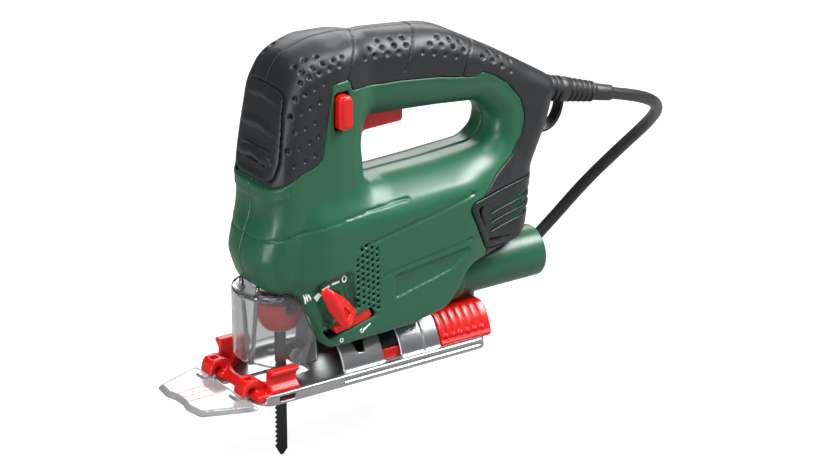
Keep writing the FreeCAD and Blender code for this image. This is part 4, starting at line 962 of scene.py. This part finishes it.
GREEN = (0.014, 0.098, 0.048)
materials = {
    "green_plastic": shader("green_moulding", GREEN, 0.36, grain=0.10, grain_scale=1500, mottle=0.05,
                            specular=0.45),
    "soft_grip": shader("soft_rubber", (0.014, 0.016, 0.018), 0.42, grain=0.30, grain_scale=1400,
                        specular=0.45),
    "red_plastic": shader("red_moulding", (0.66, 0.006, 0.005), 0.32, grain=0.06, grain_scale=1200),
    "black_plastic": shader("black_moulding", (0.008, 0.010, 0.011), 0.34, grain=0.12, grain_scale=1500,
                            specular=0.35),
    "clear_plastic": shader("clear_moulding", (0.86, 0.88, 0.88), 0.08, transmission=0.97, vary=0.04,
                            mottle=0.01),
    "sheet_steel": shader("stamped_steel", (0.43, 0.44, 0.45), 0.30, 0.92, grain=0.10, grain_scale=500,
                          stretch=(0.2, 1, 1)),
    "machined_steel": shader("turned_steel", (0.34, 0.35, 0.36), 0.26, 1.0, grain=0.08, stretch=(1, 1, 0.1)),
    "blade_steel": shader("dark_steel", (0.035, 0.038, 0.040), 0.38, 0.7, grain=0.12, stretch=(1, 1, 0.15)),
    "cast_alloy": shader("cast_zinc", (0.36, 0.37, 0.38), 0.48, 0.85, grain=0.4, grain_scale=700),
    "laminations": shader("core_steel", (0.20, 0.20, 0.21), 0.45, 0.9, grain=0.5, grain_scale=1600,
                          stretch=(3, 0.05, 0.05)),
    "copper": shader("wound_copper", (0.72, 0.30, 0.13), 0.32, 1.0, grain=0.5, grain_scale=700,
                     stretch=(0.2, 1, 1)),
    "carbon": shader("pressed_carbon", (0.05, 0.05, 0.055), 0.6, grain=0.4),
    "cord_rubber": shader("lead_rubber", (0.018, 0.019, 0.020), 0.42, grain=0.15, grain_scale=1000),
    "screw_steel": shader("plated_steel", (0.42, 0.42, 0.43), 0.30, 1.0, grain=0.1),
    "plug_metal": shader("nickel_plate", (0.70, 0.68, 0.62), 0.22, 1.0, grain=0.05),
    "lead_sheath": shader("lead_insulation", (0.10, 0.16, 0.42), 0.42, grain=0.1),
}
guide_look = shader("frosted_moulding", (0.78, 0.79, 0.80), 0.12, transmission=0.84, vary=0.04, mottle=0.02)
white_mark = shader("white_print", (0.85, 0.86, 0.84), 0.5, grain=0.05)


def dress(obj, slot_name, material=None):
    """Gives a piece the material of the named slot, unless another material is named."""
    obj.data.materials.clear()
    obj.data.materials.append(material or materials[slot_name])


slot_of = {entry["node"]: entry["material_slot"] for entry in frame["record"]["subparts"]}
for node_name, node in frame["nodes"].items():
    if node_name not in slot_of:
        continue
    if not node.data.materials:
        node.data.materials.append(materials[slot_of[node_name]])
    for k in range(len(node.data.materials)):
        node.data.materials[k] = materials[slot_of[node_name]]

# ---------------- what each piece rides on and replaces
PIECES = [
    (shells[0], "housing", "green_plastic", "housing_left"),
    (shells[1], "housing", "green_plastic", "housing_right"),
    (grips[0], "housing", "soft_grip", "grip_left"),
    (grips[1], "housing", "soft_grip", "grip_right"),
    (pad, "housing", "soft_grip", "front_grip_pad"),
    (vents[0], "housing", "black_plastic", "rear_vent_left"),
    (vents[1], "housing", "black_plastic", "rear_vent_right"),
    (tube, "tube", "green_plastic", "dust_tube"),
    (sleeve, "housing", "cord_rubber", "cord_sleeve"),
    (strap, "housing", "cord_rubber", "sleeve_strap"),
    (trigger, "trigger", "red_plastic", "trigger"),
    (button, "lock", "red_plastic", "lock_button"),
    (lever, "selector", "red_plastic", "orbit_selector"),
    (slider, "blower", "red_plastic", "blower_slider"),
    (visor, "hood", "clear_plastic", "chip_hood"),
    (base, "housing", "sheet_steel", "base_plate"),
    (cradle, "housing", "sheet_steel", "base_saddle"),
    (lining, "housing", "red_plastic", "saddle_insert"),
    (store, "depot", "red_plastic", "blade_depot"),
    (clip, "housing", "red_plastic", "base_carrier"),
    (guide, "guide", "clear_plastic", "cut_guide"),
    (guard, "housing", "machined_steel", "finger_guard"),
    (screws[0], "housing", "screw_steel", "housing_screws"),
    (bowl, "sds", "red_plastic", "sds_lever"),
    (cord, "housing", "cord_rubber", "mains_cord", "cord_coil")]
for piece, body_name, slot_name, *replaced in PIECES:
    dress(piece, slot_name)
    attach(piece, body_name)
    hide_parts(*replaced)
dress(hub, "red_plastic")
# black on the lining's upper band is painted shade in the saddle's window
dress(painted_shade_band, "black_plastic")
dress(guide_print, "red_plastic")
for extra in screws[1:]:
    dress(extra, "screw_steel")
dress(guide, "clear_plastic", guide_look)
for printed in (marks, icons):
    dress(printed, "green_plastic", white_mark)
    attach(printed, "housing")


# ---------------- floor and light
def camera_level(tree, others, camera):
    """One value for rays from the camera and a lower one for all others, so that reflections stay dim."""
    ray = tree.nodes.new("ShaderNodeLightPath")
    level = add_node(tree, "ShaderNodeMapRange", {"To Min": others, "To Max": camera})
    tree.links.new(ray.outputs["Is Camera Ray"], level.inputs["Value"])
    return level.outputs[0]


FLOOR_Z = -0.052
bpy.ops.mesh.primitive_plane_add(size=12.0, location=(0.1, 0.0, FLOOR_Z))
floor = bpy.context.object
floor.name = "floor"
floor_look = shader("floor_white", (0.28, 0.28, 0.28), 0.9, mottle=0.003, specular=0.1)
floor_tree = floor_look.node_tree
glow = next(node for node in floor_tree.nodes if node.type == "BSDF_PRINCIPLED")
glow.inputs["Emission Color"].default_value = (1, 1, 1, 1)
floor_tree.links.new(camera_level(floor_tree, 0.02, 0.86), glow.inputs["Emission Strength"])
floor.data.materials.append(floor_look)

world = bpy.data.worlds.new("studio")
bpy.context.scene.world = world
world.use_nodes = True
sky = world.node_tree.nodes["Background"]
sky.inputs["Color"].default_value = (1, 1, 1, 1)
world.node_tree.links.new(camera_level(world.node_tree, 0.08, 1.0), sky.inputs["Strength"])


def area_light(name, place, target, size, power):
    data = bpy.data.lights.new(name, "AREA")
    data.shape = "RECTANGLE"
    data.size, data.size_y = size
    data.energy = power
    light = bpy.data.objects.new(name, data)
    bpy.context.scene.collection.objects.link(light)
    aim(light, place, target)


LIGHTS = [("key", (-1.0, -0.9, 1.15), (0.06, 0, 0.10), (0.5, 0.5), 11),
          ("front", (-1.6, -0.5, 0.10), (0.0, 0, 0.10), (0.3, 0.5), 14),
          ("top", (0.10, -0.10, 1.5), (0.1, 0, 0.1), (0.8, 0.5), 19),
          ("shoulder", (0.95, -0.45, 1.05), (0.1, 0, 0.1), (0.6, 0.5), 30),
          ("side", (0.4, -1.8, 0.8), (0.1, 0, 0.08), (0.8, 0.5), 2),
          ("rear", (0.85, 1.15, 0.80), (0.1, 0, 0.1), (1.1, 0.6), 11)]
for light_values in LIGHTS:
    area_light(*light_values)
bpy.context.scene.view_settings.view_transform = "Standard"
